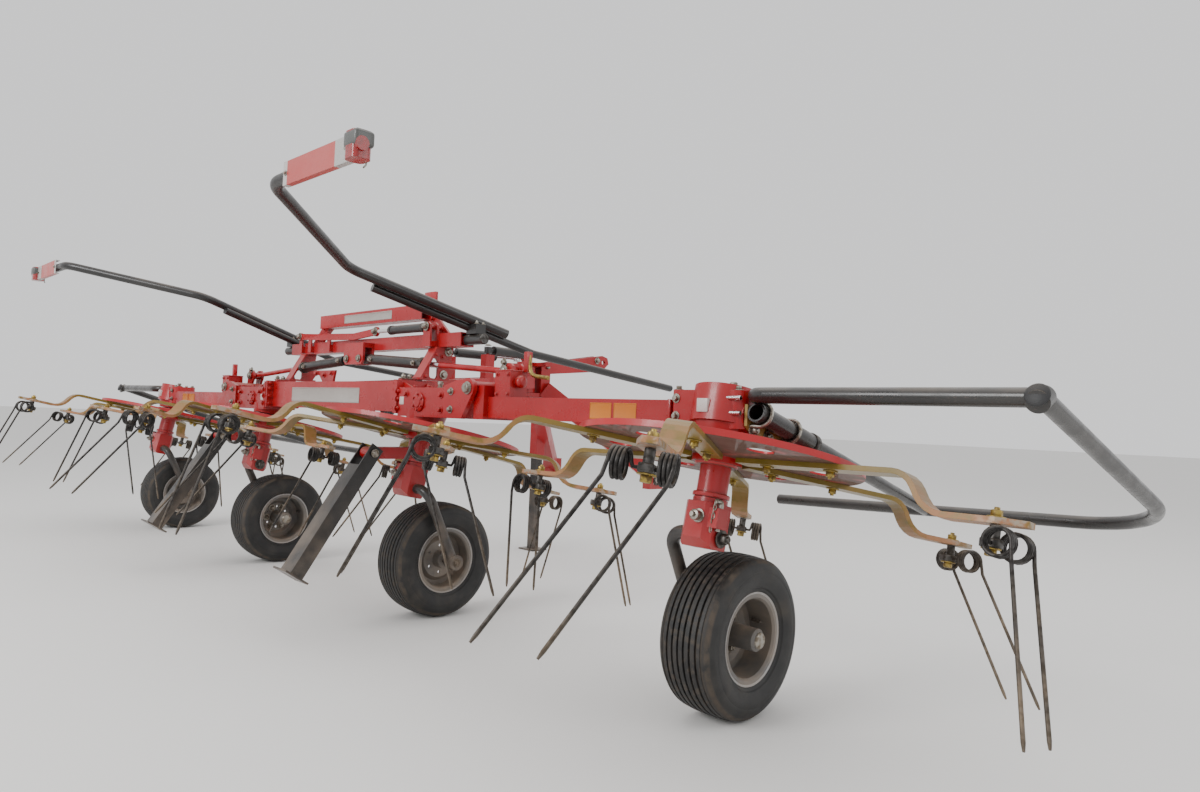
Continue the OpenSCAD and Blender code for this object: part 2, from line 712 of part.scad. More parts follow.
module drawbar() {
  rear = main_depth / 2 + seat_gap;
  color(RED) difference() {
    union() {
      // Cradle that carries the drive shaft
      translate([0, cradle_y + cradle_t, 0]) rotate([90, 0, 0]) linear_extrude(cradle_t) difference() {
        union() {
          translate([0, drive_z]) circle(shaft_r + 14);
          translate([-shaft_r - 14, drive_z]) square([2 * shaft_r + 28, crossbar_z + 1 - drive_z]);
        }
        translate([0, drive_z]) circle(shaft_r + seat_gap);
      }
      for (m = [-1, 1]) {
        square_bar([m * 300, 0, beam_top - 32], [m * 62, swivel_y - 20, head_z + 50], 50, 60);
        translate([m * damper_x - 20, damper_y - 24, head_z + 10]) cube([40, 48, damper_z - head_z - 31]);
        translate([m * damper_x, damper_y, head_z + 20])
          cylinder(h = damper_z - head_z - 4, r = damper_pin_r);
      }
      translate([0, swivel_y, head_z]) cylinder(h = head_h, r = head_r);
      translate([-90, swivel_y - 110, head_z + 20]) cube([180, 80, 60]);
      translate([-190, 500, crossbar_z]) cube([380, 50, 56]);
    }
    translate([0, swivel_y, head_z - 1]) cylinder(h = head_h + 2, r = swivel_r + fit_gap);
    translate([-400, -100, 0]) cube([800, 100 + rear, 2000]);
  }
}

// Closed input gearbox in the middle of the main beam, with its stub
stub_r = 17.4;
stub_y0 = 144;
stub_len = 56;
module centre_gearbox() {
  color(RED) {
    translate([0, 50.3, drive_z - 55]) round_plate_y([150, 110], 26, 70);
    translate([0, 118, drive_z]) rotate([-90, 0, 0]) cylinder(h = 26, r = 38);
  }
  color(STEEL) translate([0, stub_y0 - 1, drive_z]) rotate([-90, 0, 0])
    cylinder(h = stub_len + 1, r = stub_r);
}

// A rounded plate standing in XZ and growing towards +Y, its foot at z = 0
module round_plate_y(size, r, t) {
  translate([0, 0, size[1] / 2]) rotate([-90, 0, 0]) round_plate(size, r, t);
}

// Telescopic drive shaft, pushed together and resting in its cradle, its cones ribbed bellows
shaft_r = 36;
shaft_start = stub_y0 + stub_len + seat_gap;
shaft_end = 1079;
input_r = 17.5;
input_len = 55;
module drive_shaft() {
  rib = 6;
  translate([0, 0, drive_z]) rotate([-90, 0, 0]) difference() {
    shaft_guards(rib);
    // Splined bore of the yoke, which slides on the tractor's stub
    translate([0, 0, shaft_end - input_len]) cylinder(h = input_len + 1, r = input_r);
  }
}

module shaft_guards(rib) {
  union() {
    color("goldenrod") {
      translate([0, 0, shaft_start + 43]) cylinder(h = 460, r = shaft_r);
      translate([0, 0, 600]) cylinder(h = 420, r = shaft_r - 5);
    }
    color(BLACK) {
      translate([0, 0, shaft_start]) rotate_extrude() polygon(concat(
        [[0, 0], [shaft_r + 2, 0]],
        [for (i = [0:5]) [shaft_r + 2 + 3 * (i % 2) + i, (i + 0.5) * rib]],
        [[shaft_r + 10, 6 * rib], [shaft_r + 10, 44], [0, 44]]));
      translate([0, 0, shaft_end]) mirror([0, 0, 1]) rotate_extrude() polygon(concat(
        [[0, 0], [shaft_r - 2, 0]],
        [for (i = [0:7]) [shaft_r - 2 + 3 * (i % 2) + i * 0.7, (i + 0.5) * rib]],
        [[shaft_r + 6, 8 * rib], [shaft_r + 6, 60], [0, 60]]));
    }
  }
}

// Wings

lever_x = 1020;
lever_z = 876;
lever_rear = rod_y - eye_w / 2 - eye_gap - plate_t;
lever_front = rod_y + eye_w / 2 + eye_gap;
knuckle_r = 24;

module wing_beam(side) {
  low = drive_z - 37;
  beam_start = 1040;
  beam_end = 1.5 * rotor_pitch - 26 - 112 - seat_gap;
  block_w = block_front - block_rear;
  mirror([side < 0 ? 1 : 0, 0, 0]) color(RED) {
    translate([(beam_start + beam_end) / 2, 0, low + wing_h / 2])
      box_tube_x(beam_end - beam_start, wing_depth, wing_h, 6);
    // Hinge block
    difference() {
      union() {
        translate([hinge_x + 8, block_rear, low - 6]) cube([50, block_w, 86]);
        translate([hinge_x, block_front, hinge_z]) rotate([90, 0, 0]) cylinder(h = block_w, r = knuckle_r);
        translate([hinge_x, block_rear, hinge_z - knuckle_r]) cube([58, block_w, knuckle_r + 10]);
      }
      translate([hinge_x, block_front + 1, hinge_z]) rotate([90, 0, 0])
        cylinder(h = block_w + 2, r = hinge_pin_d / 2 + fit_gap);
    }
    // Lever cheeks for the fold cylinder
    for (y = [lever_rear, lever_front]) translate([0, y + plate_t, 0]) rotate([90, 0, 0])
      linear_extrude(plate_t) polygon([
        [hinge_x + 22, hinge_z - 20], [hinge_x + 18, hinge_z + 18], [lever_x - 30, lever_z - 14],
        [lever_x - 34, lever_z],
        [lever_x - 28, lever_z + 16], [lever_x - 14, lever_z + 27], [lever_x + 22, lever_z + 27],
        [lever_x + 34, lever_z + 18], [hinge_x + 80, low + 10], [hinge_x + 30, low + 10]]);
    // Visible end of the lever's pin
    translate([lever_x, lever_rear, lever_z]) rotate([90, 0, 0]) cylinder(h = 9, r = 15);
    // Closed box beside the lever
    translate([hinge_x + 82, -40, low + wing_h - 1]) cube([76, 70, 84]);
    translate([hinge_x + 158, -6, low + wing_h + 50]) rotate([0, 90, 0]) cylinder(h = 16, r = 17);
  }
}

// Bow guard around the outer rotor, planar and falling towards the front
guard_r = 19;
guard_fall = tan(17.5);
guard_back_y = -62;
guard_back_z = 801;
function guard_z(y) = guard_back_z - (y - guard_back_y) * guard_fall;
guard_out = 742;
guard_bow = 265;
elbow_bend = 50;
front_y = 858;
// Sleeve clamped on the housing, from which the bow's inner arm telescopes
sleeve_r = 24;
sleeve_wall_t = 5;
sleeve_start = -40;
sleeve_end = 230;
arm_back_z = 761;
arm_front_y = 950;
housing_face = 86;
clamp_t = 8;
clamp_x = housing_face + seat_gap;
arm_x = clamp_x + clamp_t + seat_gap + sleeve_r;
arm_fall = (arm_back_z - guard_z(arm_front_y)) / (arm_front_y - sleeve_start);
function arm_z(y) = arm_back_z - (y - sleeve_start) * arm_fall;

module guard(side) {
  x0 = 1.5 * rotor_pitch;
  elbow_x = arm_x - 8;
  mirror([side < 0 ? 1 : 0, 0, 0]) {
    color(BLACK) {
      // Outward tube; its elbow stands on the sleeve by a web
      bent_bar([[x0 + guard_out, guard_back_y, guard_back_z],
        [x0 + elbow_x, guard_back_y - 4, guard_back_z - 2],
        [x0 + elbow_x, 2, guard_back_z - 1]], guard_r, elbow_bend, 5 * bend_ease);
      bent_bar([[x0 + guard_out, guard_back_y, guard_back_z], [x0 + 805, front_y, guard_z(front_y)],
        [x0 - 470, front_y + 165, guard_z(front_y + 165)]], guard_r - 1, guard_bow);
      // Capped corner where both tubes meet
      translate([x0 + guard_out, guard_back_y - 10, guard_back_z - 3]) rotate([-70, 0, 0])
        cylinder(h = 36, r = guard_r + 3, center = true);
      difference() {
        union() {
          round_bar([x0 + arm_x, sleeve_start, arm_z(sleeve_start)],
            [x0 + arm_x, sleeve_end, arm_z(sleeve_end)], sleeve_r);
          round_bar([x0 + arm_x, sleeve_end - 20, arm_z(sleeve_end - 20)],
            [x0 + arm_x, arm_front_y, arm_z(arm_front_y)], guard_r - 1);
          translate([x0 + arm_x - 8, sleeve_start + 16, arm_z(0)]) cube([8, 22, guard_back_z - 8 - arm_z(0)]);
        }
        // Open rear end of the sleeve
        round_bar([x0 + arm_x, sleeve_start - 10, arm_z(sleeve_start - 10)],
          [x0 + arm_x, sleeve_end - 40, arm_z(sleeve_end - 40)], sleeve_r - sleeve_wall_t);
      }
    }
    // Slanted clamp plate on the housing's outer face
    color(OLIVE) translate([x0 + clamp_x, 0, 0]) rotate([90, 0, 90]) linear_extrude(clamp_t) difference() {
      polygon([[sleeve_start, arm_z(sleeve_start) + 18], [150, arm_z(150) + 30],
        [150, arm_z(150) - 24], [130, arm_z(130) - 42], [sleeve_start + 16, arm_z(sleeve_start) - 46],
        [sleeve_start, arm_z(sleeve_start) - 34]]);
      translate([110, arm_z(110) + 8]) circle(7);
    }
  }
}

// Fold cylinders

cyl_run = [lever_x - anchor_x, lever_z - anchor_z];
cyl_len = norm(cyl_run);
cyl_angle = atan2(-cyl_run[1], cyl_run[0]);
barrel_r = 22;
barrel_end = 450;
rod_r = 11;
module at_cylinder() {
  translate([anchor_x, rod_y, anchor_z]) rotate([0, 90 + cyl_angle, 0]) children();
}

module barrel(side) {
  mirror([side < 0 ? 1 : 0, 0, 0]) color(BLACK) at_cylinder() difference() {
    union() {
      rotate([90, 0, 0]) cylinder(h = eye_w, r = 20, center = true);
      translate([0, 0, 12]) cylinder(h = 50, r = 13);
      translate([0, 0, 58]) cylinder(h = barrel_end - 58, r = barrel_r);
    }
    rotate([90, 0, 0]) cylinder(h = 60, r = cyl_pin_r + fit_gap, center = true);
    translate([0, 0, 100]) cylinder(h = barrel_end, r = rod_r + fit_gap);
  }
}

module rod(side) {
  mirror([side < 0 ? 1 : 0, 0, 0]) color(STEEL) at_cylinder() {
    translate([0, 0, 240]) cylinder(h = cyl_len - 240 - 8, r = rod_r);
    translate([0, 0, cyl_len]) rotate([90, 0, 0]) cylinder(h = eye_w, r = 17, center = true);
  }
}

// Headstock with the link pins, and its stand

lug_t = 20;
top_link_r = 12.75;
top_link_y = link_y - 50;
mast_inner = 28;
mast_t = 16;
pin_out = 95;
stand_x = -265;
front_stand_y = 1330;
stand_bar = 44;
sleeve_wall = 6;
slide_gap = 0.4;
ear_x = 115;
ear_ahead = 30;

module headstock() {
  lug_x = link_span / 2;
  sleeve = stand_bar + 2 * (slide_gap + sleeve_wall);
  low_lug = head_z - lug_t - 1;
  high_lug = head_z + head_h + 1;
  color(RED) difference() {
    union() {
      for (z = [low_lug, high_lug]) translate([0, swivel_y, z]) {
        cylinder(h = lug_t, r = head_r);
        translate([-head_r, 0, 0]) cube([2 * head_r, 120, lug_t]);
      }
      // Ears for the dampers
      translate([-ear_x - 22, swivel_y + ear_ahead - 22, high_lug]) cube([2 * ear_x + 44, 44, lug_t - 2]);
      translate([-head_r, swivel_y + 62, low_lug]) cube([2 * head_r, 60, head_h + 2 * lug_t + 2]);
      translate([0, swivel_y, low_lug - 8]) cylinder(h = head_h + 2 * lug_t + 18, r = swivel_r);
      for (m = [-1, 1]) {
        square_bar([m * 40, swivel_y + 92, head_z + 20], [m * (lug_x - 22), link_y, link_z + 20], 60, 80);
        translate([m > 0 ? lug_x - 50 : -lug_x, link_y - 50, link_z - 45]) cube([50, 100, 110]);
        translate([m * (mast_inner + mast_t / 2) - mast_t / 2, 0, 0]) rotate([90, 0, 90])
          linear_extrude(mast_t) polygon([
          [swivel_y + 64, head_z + head_h - 10], [swivel_y + 118, head_z + head_h - 30],
          [link_y - 60, link_z + mast_h - 50], [link_y - 10, link_z + mast_h - 6],
          [link_y - 20, link_z + mast_h + 26], [link_y - 60, link_z + mast_h + 36],
          [swivel_y + 64, head_z + head_h + 20]]);
      }
      translate([stand_x - sleeve / 2, front_stand_y - sleeve / 2, 520]) cube([sleeve, sleeve, 220]);
    }
    translate([0, top_link_y, link_z + mast_h]) rotate([0, 90, 0])
      cylinder(h = 200, r = top_link_r, center = true);
    translate([stand_x - stand_bar / 2 - slide_gap, front_stand_y - stand_bar / 2 - slide_gap, 0])
      cube([stand_bar + 2 * slide_gap, stand_bar + 2 * slide_gap, 1200]);
  }
  color(STEEL) for (m = [-1, 1])
    translate([m * (lug_x - 40), link_y, link_z]) rotate([0, m * 90, 0])
      cylinder(h = 40 + pin_out, r = link_d / 2);
}

module front_stand() {
  color(BLACK) translate([stand_x, front_stand_y, 0]) {
    translate([-60, -50, 0]) cube([120, 100, 8]);
    translate([-stand_bar / 2, -stand_bar / 2, 7]) cube([stand_bar, stand_bar, 760]);
  }
}

// Rear parking stands, swung up behind the inner posts

stand_angle = 33;
stand_len = 460;
stand_y = -230;
stand_z = 582;
stand_pin_r = 9;
module rear_stand(side) {
  x = rotor_pitch / 2;
  mirror([side < 0 ? 1 : 0, 0, 0]) color(BLACK)
    translate([x, stand_y, stand_z]) rotate([-stand_angle, 0, 0]) {
      for (s = [-1, 1]) translate([s * 33 - 3, 0, 0]) difference() {
        translate([0, -24, -stand_len]) cube([6, 48, stand_len + 24]);
        translate([-1, 0, 0]) rotate([0, 90, 0]) cylinder(h = 8, r = stand_pin_r + fit_gap);
      }
      translate([-34, -24, -stand_len]) cube([68, 6, stand_len - 60]);
      translate([-45, -45, -stand_len - 6]) cube([90, 90, 6]);
    }
}

// Swing dampers between the drawbar and the headstock

damper_run = [ear_x - damper_x, swivel_y + ear_ahead - damper_y];
damper_len = norm(damper_run);
module at_damper(side) {
  mirror([side < 0 ? 1 : 0, 0, 0]) translate([damper_x, damper_y, damper_z])
    rotate([0, 0, atan2(damper_run[1], damper_run[0])]) rotate([0, 90, 0]) children();
}

module damper_body(side) {
  color(BLACK) at_damper(side) difference() {
    union() {
      rotate([0, 90, 0]) cylinder(h = 30, r = 18, center = true);
      translate([0, 0, 12]) cylinder(h = 24, r = 10);
      translate([0, 0, 34]) cylinder(h = 226, r = 22);
    }
    rotate([0, 90, 0]) cylinder(h = 60, r = damper_pin_r + fit_gap, center = true);
    translate([0, 0, 60]) cylinder(h = 300, r = 8 + fit_gap);
  }
}

module damper_rod(side) {
  color(STEEL) at_damper(side) {
    translate([0, 0, 180]) cylinder(h = damper_len - 188, r = 8);
    translate([0, 0, damper_len]) rotate([0, 90, 0]) cylinder(h = 30, r = 18, center = true);
  }
}

// Whole part
module place() {
  translate([0, -beam_back, 0]) children();
}

place() main_beam();
place() inner_posts();
place() portal();
place() drawbar();
place() centre_gearbox();
place() drive_shaft();
place() board_bars();
place() boards();
place() lamps();
place() headstock();
place() front_stand();
for (side = [-1, 1]) {
  name = side < 0 ? "left" : "right";
  place()
    mirror([side < 0 ? 1 : 0, 0, 0]) color(RED) upright();
  place() wing_beam(side);
  place() outer_post(side);
  place() guard(side);
  place() barrel(side);
  place() rod(side);
  place() rear_stand(side);
  place() damper_body(side);
  place() damper_rod(side);
}
for (r = ROTORS) {
  place() dish(r[R_X], r[R_PHASE]);
  place() arms(r[R_X], r[R_TURN], r[R_PHASE]);
  place() tines(r[R_X], r[R_TURN], r[R_PHASE]);
  place() leg(r[R_X], r[R_SIDE]);
  place() tyre(r[R_X]);
  place() rim(r[R_X], r[R_SIDE]);
}
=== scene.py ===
"""Looks of a mounted rotary hay tedder with four rotors, standing unfolded on its wheels."""

import math

import bpy
from mathutils import Euler, Matrix, Vector


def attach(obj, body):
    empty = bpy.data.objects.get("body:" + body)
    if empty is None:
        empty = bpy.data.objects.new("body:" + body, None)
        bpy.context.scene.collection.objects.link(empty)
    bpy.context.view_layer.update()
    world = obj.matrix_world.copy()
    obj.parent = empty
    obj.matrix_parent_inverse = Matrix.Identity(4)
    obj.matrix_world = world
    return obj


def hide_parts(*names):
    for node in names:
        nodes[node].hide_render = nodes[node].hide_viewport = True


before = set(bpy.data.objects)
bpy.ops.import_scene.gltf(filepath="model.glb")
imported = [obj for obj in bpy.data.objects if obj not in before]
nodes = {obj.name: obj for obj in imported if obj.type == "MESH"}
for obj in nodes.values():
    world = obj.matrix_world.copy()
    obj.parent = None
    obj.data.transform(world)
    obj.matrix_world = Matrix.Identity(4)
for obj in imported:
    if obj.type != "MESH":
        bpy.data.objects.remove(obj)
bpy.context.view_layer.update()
bpy.ops.object.select_all(action="DESELECT")
bpy.context.tool_settings.mesh_select_mode = (False, False, True)

# Floor and daylight: plain pale paper under a wide soft sky, as on an overcast day.
# The camera stands behind the machine on its right, low over the ground, where the photograph was taken.
bpy.ops.mesh.primitive_plane_add(size=120)
floor = bpy.context.object
floor.name = "studio_floor"
paper = bpy.data.materials.new("studio_paper")
paper.use_nodes = True
paper.node_tree.nodes["Principled BSDF"].inputs["Base Color"].default_value = (0.74, 0.73, 0.71, 1)
paper.node_tree.nodes["Principled BSDF"].inputs["Roughness"].default_value = 0.9
floor.data.materials.append(paper)

sky = bpy.data.worlds.new("studio_sky")
bpy.context.scene.world = sky
sky.use_nodes = True
sky.node_tree.nodes["Background"].inputs["Color"].default_value = (0.97, 0.97, 0.98, 1)
sky.node_tree.nodes["Background"].inputs["Strength"].default_value = 1.05

for name, spot, aim, size, power in (
    ("sky_panel", (0.6, 0.4, 5.6), (0.4, 0.0, 0.5), 6.0, 120),
    ("key_panel", (0.2, -6.2, 3.6), (0.8, 0.0, 0.8), 2.6, 260),
    ("side_panel", (6.5, 1.5, 3.0), (1.5, 0.2, 0.7), 3.0, 60),
):
    bpy.ops.object.light_add(type="AREA", location=spot)
    lamp = bpy.context.object
    lamp.name = name
    lamp.data.size = size
    lamp.data.energy = power
    lamp.rotation_euler = (Vector(aim) - Vector(spot)).to_track_quat("-Z", "Y").to_euler()

bpy.ops.object.camera_add()
camera = bpy.context.object
camera.name = "photo_camera"
camera.data.sensor_width = 36
camera.data.lens = 24.63
camera.data.clip_start = 0.05
camera_spot = (3.161, -2.025, 0.725)
tilt, heading, roll = (math.radians(angle) for angle in (91.71, 44.49, 2.49))
camera.matrix_world = (
    Matrix.Translation(camera_spot)
    @ Euler((tilt, 0, heading)).to_matrix().to_4x4()
    @ Matrix.Rotation(roll, 4, "Z")
)
bpy.context.scene.camera = camera


# Red enamel over welded plate, tube and castings: gloss paint with a faint orange peel.
# It is faded in patches, dusty on upward faces and near the ground, and chipped to dark steel along edges.
class Finish:
    """A worn finish, mixed from patterns drawn in the piece's own coordinates."""

    def __init__(self, name, rough, metal=0.0, coat=0.0, edge=0.0015):
        self.material = bpy.data.materials.new(name)
        self.material.use_nodes = True
        self.tree = self.material.node_tree
        self.shader = self.tree.nodes["Principled BSDF"]
        self.shader.inputs["Roughness"].default_value = rough
        self.shader.inputs["Metallic"].default_value = metal
        self.shader.inputs["Coat Weight"].default_value = coat
        self.place = self.node("ShaderNodeTexCoord")
        self.corner = self.node("ShaderNodeBevel", samples=4)
        self.corner.inputs["Radius"].default_value = edge

    def node(self, kind, **settings):
        node = self.tree.nodes.new(kind)
        for key, value in settings.items():
            setattr(node, key, value)
        return node

    def feed(self, socket, value):
        if isinstance(value, bpy.types.NodeSocket):
            self.tree.links.new(value, socket)
        else:
            socket.default_value = value

    def between(self, value, low, high, start=0.0, end=1.0):
        """0 to 1 as the value passes from low to high."""
        ramp = self.node("ShaderNodeMapRange", interpolation_type="SMOOTHSTEP")
        keys = ("Value", "From Min", "From Max", "To Min", "To Max")
        for key, number in zip(keys, (value, low, high, start, end)):
            self.feed(ramp.inputs[key], number)
        return ramp.outputs[0]

    def spots(self, size, low, high, detail=5.0, stretch=(1, 1, 1)):
        """Patches of about that size in metres."""
        turned_place = self.node("ShaderNodeMapping")
        turned_place.inputs["Scale"].default_value = stretch
        self.feed(turned_place.inputs["Vector"], self.place.outputs["Object"])
        noise = self.node("ShaderNodeTexNoise")
        noise.inputs["Scale"].default_value = 1 / size
        noise.inputs["Detail"].default_value = detail
        self.feed(noise.inputs["Vector"], turned_place.outputs["Vector"])
        return self.between(noise.outputs[0], low, high)

    def reckon(self, how, first, second=0.0, third=0.0):
        sum_node = self.node("ShaderNodeMath", operation=how, use_clamp=True)
        for socket, value in zip(sum_node.inputs, (first, second, third)):
            self.feed(socket, value)
        return sum_node.outputs[0]

    def mixed(self, amount, first, second):
        mix = self.node("ShaderNodeMix", data_type="RGBA")
        self.feed(mix.inputs[0], amount)
        for socket, value in zip((mix.inputs[6], mix.inputs[7]), (first, second)):
            self.feed(socket, (*value, 1) if isinstance(value, tuple) else value)
        return mix.outputs[2]

    def where(self, axis, of="Object"):
        """How far along X, Y or Z a point lies, or with Normal how far its face looks that way."""
        split = self.node("ShaderNodeSeparateXYZ")
        self.feed(split.inputs[0], self.place.outputs[of])
        return split.outputs[axis]

    def edges(self):
        """1 on worn corners, 0 on flats."""
        surface = self.node("ShaderNodeNewGeometry")
        level = self.node("ShaderNodeVectorMath", operation="DOT_PRODUCT")
        self.feed(level.inputs[0], self.corner.outputs["Normal"])
        self.feed(level.inputs[1], surface.outputs["Normal"])
        return self.between(level.outputs["Value"], 0.985, 0.86)

    def dust(self, top, low, reach=0.55):
        """Dust lying on upward faces, and thrown up from the ground to that height."""
        lying = self.reckon("MULTIPLY", self.between(self.where("Z", "Normal"), 0.25, 0.95), top)
        thrown = self.reckon("MULTIPLY", self.between(self.where("Z"), reach, 0.1), low)
        both = self.reckon("ADD", lying, thrown)
        return self.reckon("MULTIPLY", both, self.spots(0.09, 0.25, 0.72, 8.0))

    def surface(self, colour, rough, bump_size=0.0016, strength=0.06, height=None):
        """Sends colour, roughness and relief to the shader."""
        self.feed(self.shader.inputs["Base Color"], colour)
        self.feed(self.shader.inputs["Roughness"], rough)
        relief = self.node("ShaderNodeBump")
        relief.inputs["Strength"].default_value = strength
        relief.inputs["Distance"].default_value = 0.001
        self.feed(relief.inputs["Height"], height or self.spots(bump_size, 0.3, 0.7, 2.0))
        self.feed(relief.inputs["Normal"], self.corner.outputs["Normal"])
        self.feed(self.shader.inputs["Normal"], relief.outputs["Normal"])
        return self.material


def enamel(name, fresh, faded, shine, chips=0.55, top=0.4, low=0.75, masks=()):
    """Paint on steel. masks are (where, colour, roughness) for parts painted otherwise."""
    paint = Finish(name, shine, coat=0.15)
    colour = paint.mixed(paint.spots(0.28, 0.34, 0.68), fresh, faded)
    rough = paint.between(paint.spots(0.05, 0.3, 0.7, 8.0), 0, 1, shine, shine + 0.14)
    for mask, other, other_rough in masks:
        area = mask(paint)
        colour = paint.mixed(area, colour, other)
        rough = paint.reckon("ADD", rough, paint.reckon("MULTIPLY", area, other_rough))
    scratch = paint.spots(0.004, 0.62, 0.68, 3.0, (1, 9, 1))
    colour = paint.mixed(paint.reckon("MULTIPLY", scratch, 0.35), colour, (0.16, 0.10, 0.08))
    worn = paint.reckon("MULTIPLY", paint.edges(), paint.spots(0.018, 0.50, 0.62, 6.0))
    colour = paint.mixed(paint.reckon("MULTIPLY", worn, chips), colour, (0.13, 0.10, 0.085))
    dusty = paint.dust(top, low)
    colour = paint.mixed(dusty, colour, (0.33, 0.25, 0.18))
    rough = paint.reckon("ADD", rough, paint.reckon("MULTIPLY", dusty, 0.45))
    return paint.surface(colour, rough)


def within(*limits):
    """A mask of 1 inside (axis, low, high) limits in metres; an axis with | counts both sides."""
    def mask(paint):
        area = 1.0
        for axis, low, high in limits:
            reach = paint.where(axis[0])
            if "|" in axis:
                reach = paint.node("ShaderNodeMath", operation="ABSOLUTE")
                paint.feed(reach.inputs[0], paint.where(axis[0]))
                reach = reach.outputs[0]
            middle = paint.node("ShaderNodeMath", operation="COMPARE")
            for socket, value in zip(middle.inputs, (reach, (low + high) / 2, (high - low) / 2)):
                paint.feed(socket, value)
            area = paint.reckon("MULTIPLY", area, middle.outputs[0])
        return area
    return mask


def coated(material, *names):
    """Gives carried-over pieces their finish."""
    for name in names:
        if not nodes[name].material_slots:
            nodes[name].data.materials.append(material)
        for slot in nodes[name].material_slots:
            slot.material = material


SIDES = (("left", -1), ("right", 1))
ROW_BACK = 346
REARWARD, UPWARD = Vector((0, -1, 0)), Vector((0, 0, 1))
fresh_red, faded_red = (0.30, 0.002, 0.004), (0.39, 0.011, 0.015)
red_frame = enamel("red_frame_enamel", fresh_red, faded_red, 0.26)
coated(red_frame, "main_beam", "inner_posts", "centre_gearbox", "drawbar")


# Plates and bolts of the main beam: a bare pale plate on the rear face, one on the beam above it, and hexagon
# bolts through both end flanges. A bolt has a chamfered head on a round washer, in zinc or painted over.
def at(x, y, z):
    """A point in the row's metres, from millimetres about the beam's middle line and the ground."""
    return Vector((x, y - ROW_BACK, z)) / 1000


def facing(point, direction, turn=0.0):
    """A place whose Z looks along a direction."""
    look = Vector(direction).to_track_quat("Z", "Y").to_matrix().to_4x4()
    return Matrix.Translation(point) @ look @ Matrix.Rotation(turn, 4, "Z")


def alone(piece):
    bpy.ops.object.select_all(action="DESELECT")
    piece.select_set(True)
    bpy.context.view_layer.objects.active = piece
    return piece


def bevelled(piece, width, segments=2):
    """Rounds a piece's hard edges."""
    alone(piece)
    edge = piece.modifiers.new("edge", "BEVEL")
    edge.width = width
    edge.segments = segments
    edge.angle_limit = math.radians(40)
    bpy.ops.object.modifier_apply(modifier="edge")
    return piece


def picked(piece, test):
    """Selects the faces that pass a test of centre and normal, and opens the piece for editing."""
    alone(piece)
    for part in (piece.data.vertices, piece.data.edges):
        part.foreach_set("select", [False] * len(part))
    for face in piece.data.polygons:
        face.select = test(face.center, face.normal)
    bpy.ops.object.mode_set(mode="EDIT")


def closed():
    """Leaves edit mode with doubles merged and faces outward."""
    bpy.ops.mesh.select_all(action="SELECT")
    bpy.ops.mesh.remove_doubles(threshold=0.00001)
    bpy.ops.mesh.normals_make_consistent(inside=False)
    bpy.ops.object.mode_set(mode="OBJECT")


def joined(first, others):
    """Joins other pieces into the first one."""
    alone(first)
    for other in others:
        other.select_set(True)
    if others:
        bpy.ops.object.join()
    return first


def repeated(piece, places, name):
    """Copies of a piece, each with its own mesh, set at their places and joined under one name."""
    copies = []
    for place in places:
        copy = piece.copy()
        copy.data = piece.data.copy()
        copy.data.transform(place)
        bpy.context.scene.collection.objects.link(copy)
        copies.append(copy)
    bpy.data.objects.remove(piece)
    joined(copies[0], copies[1:]).name = name
    return copies[0]


def fitted(piece, body, material=None, angle=35):
    """Smooths a finished piece, gives it its finish, and lets it ride on its body."""
    alone(piece)
    bpy.ops.object.shade_smooth_by_angle(angle=math.radians(angle))
    if material:
        piece.data.materials.clear()
        piece.data.materials.append(material)
    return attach(piece, body)


def block(name, low, high, edge, segments=2):
    """A bar or plate between two corners in millimetres about the beam, with rounded edges."""
    low, high = at(*low), at(*high)
    bpy.ops.object.select_all(action="DESELECT")
    bpy.ops.mesh.primitive_cube_add(size=1, location=(low + high) / 2, scale=[abs(v) for v in high - low])
    bpy.ops.object.transform_apply()
    bpy.context.object.name = name
    return bevelled(bpy.context.object, edge / 1000, segments)


def pressed(piece, look, rim, step, depth):
    """Presses or raises the middle of the faces that look one way, inside a rim and a step in metres."""
    picked(piece, lambda centre, normal: normal.dot(look) > 0.9)
    bpy.ops.mesh.inset(thickness=rim)
    bpy.ops.mesh.inset(thickness=step, depth=depth)
    bpy.ops.object.mode_set(mode="OBJECT")


def hex_bolt(across, stud=0.0):
    """A hexagon head on its washer, or with a stud a nut and the thread's end."""
    bpy.ops.object.select_all(action="DESELECT")
    high = 0.6 * across
    bpy.ops.mesh.primitive_cylinder_add(vertices=6, radius=across / math.sqrt(3), depth=high,
                                        location=(0, 0, 0.14 * across + high / 2))
    bpy.ops.object.transform_apply()
    bolt = bpy.context.object
    picked(bolt, lambda centre, normal: normal.z > 0.9)
    bpy.ops.mesh.inset(thickness=0.09 * across, depth=0.07 * across)
    bpy.ops.mesh.select_all(action="DESELECT")
    bpy.ops.mesh.primitive_cylinder_add(vertices=18, radius=0.95 * across, depth=0.14 * across,
                                        location=(0, 0, 0.07 * across))
    if stud:
        bpy.ops.mesh.primitive_cylinder_add(vertices=12, radius=0.28 * across, depth=stud,
                                            location=(0, 0, high + stud / 2))
    bpy.ops.object.mode_set(mode="OBJECT")
    return bevelled(bolt, 0.03 * across, 1)


def steel(name, colour, rough, stain, metal=1.0, top=0.35, low=0.6):
    """Bare or plated steel with stains and dust."""
    plate = Finish(name, rough, metal=metal, edge=0.0008)
    dull = plate.spots(0.012, 0.42, 0.66, 8.0)
    colour = plate.mixed(dull, colour, stain)
    dusty = plate.dust(top, low)
    colour = plate.mixed(dusty, colour, (0.30, 0.23, 0.16))
    rough = plate.reckon("ADD", plate.between(dull, 0, 1, rough, rough + 0.25),
                         plate.reckon("MULTIPLY", dusty, 0.4))
    return plate.surface(colour, rough, 0.0009, 0.10)


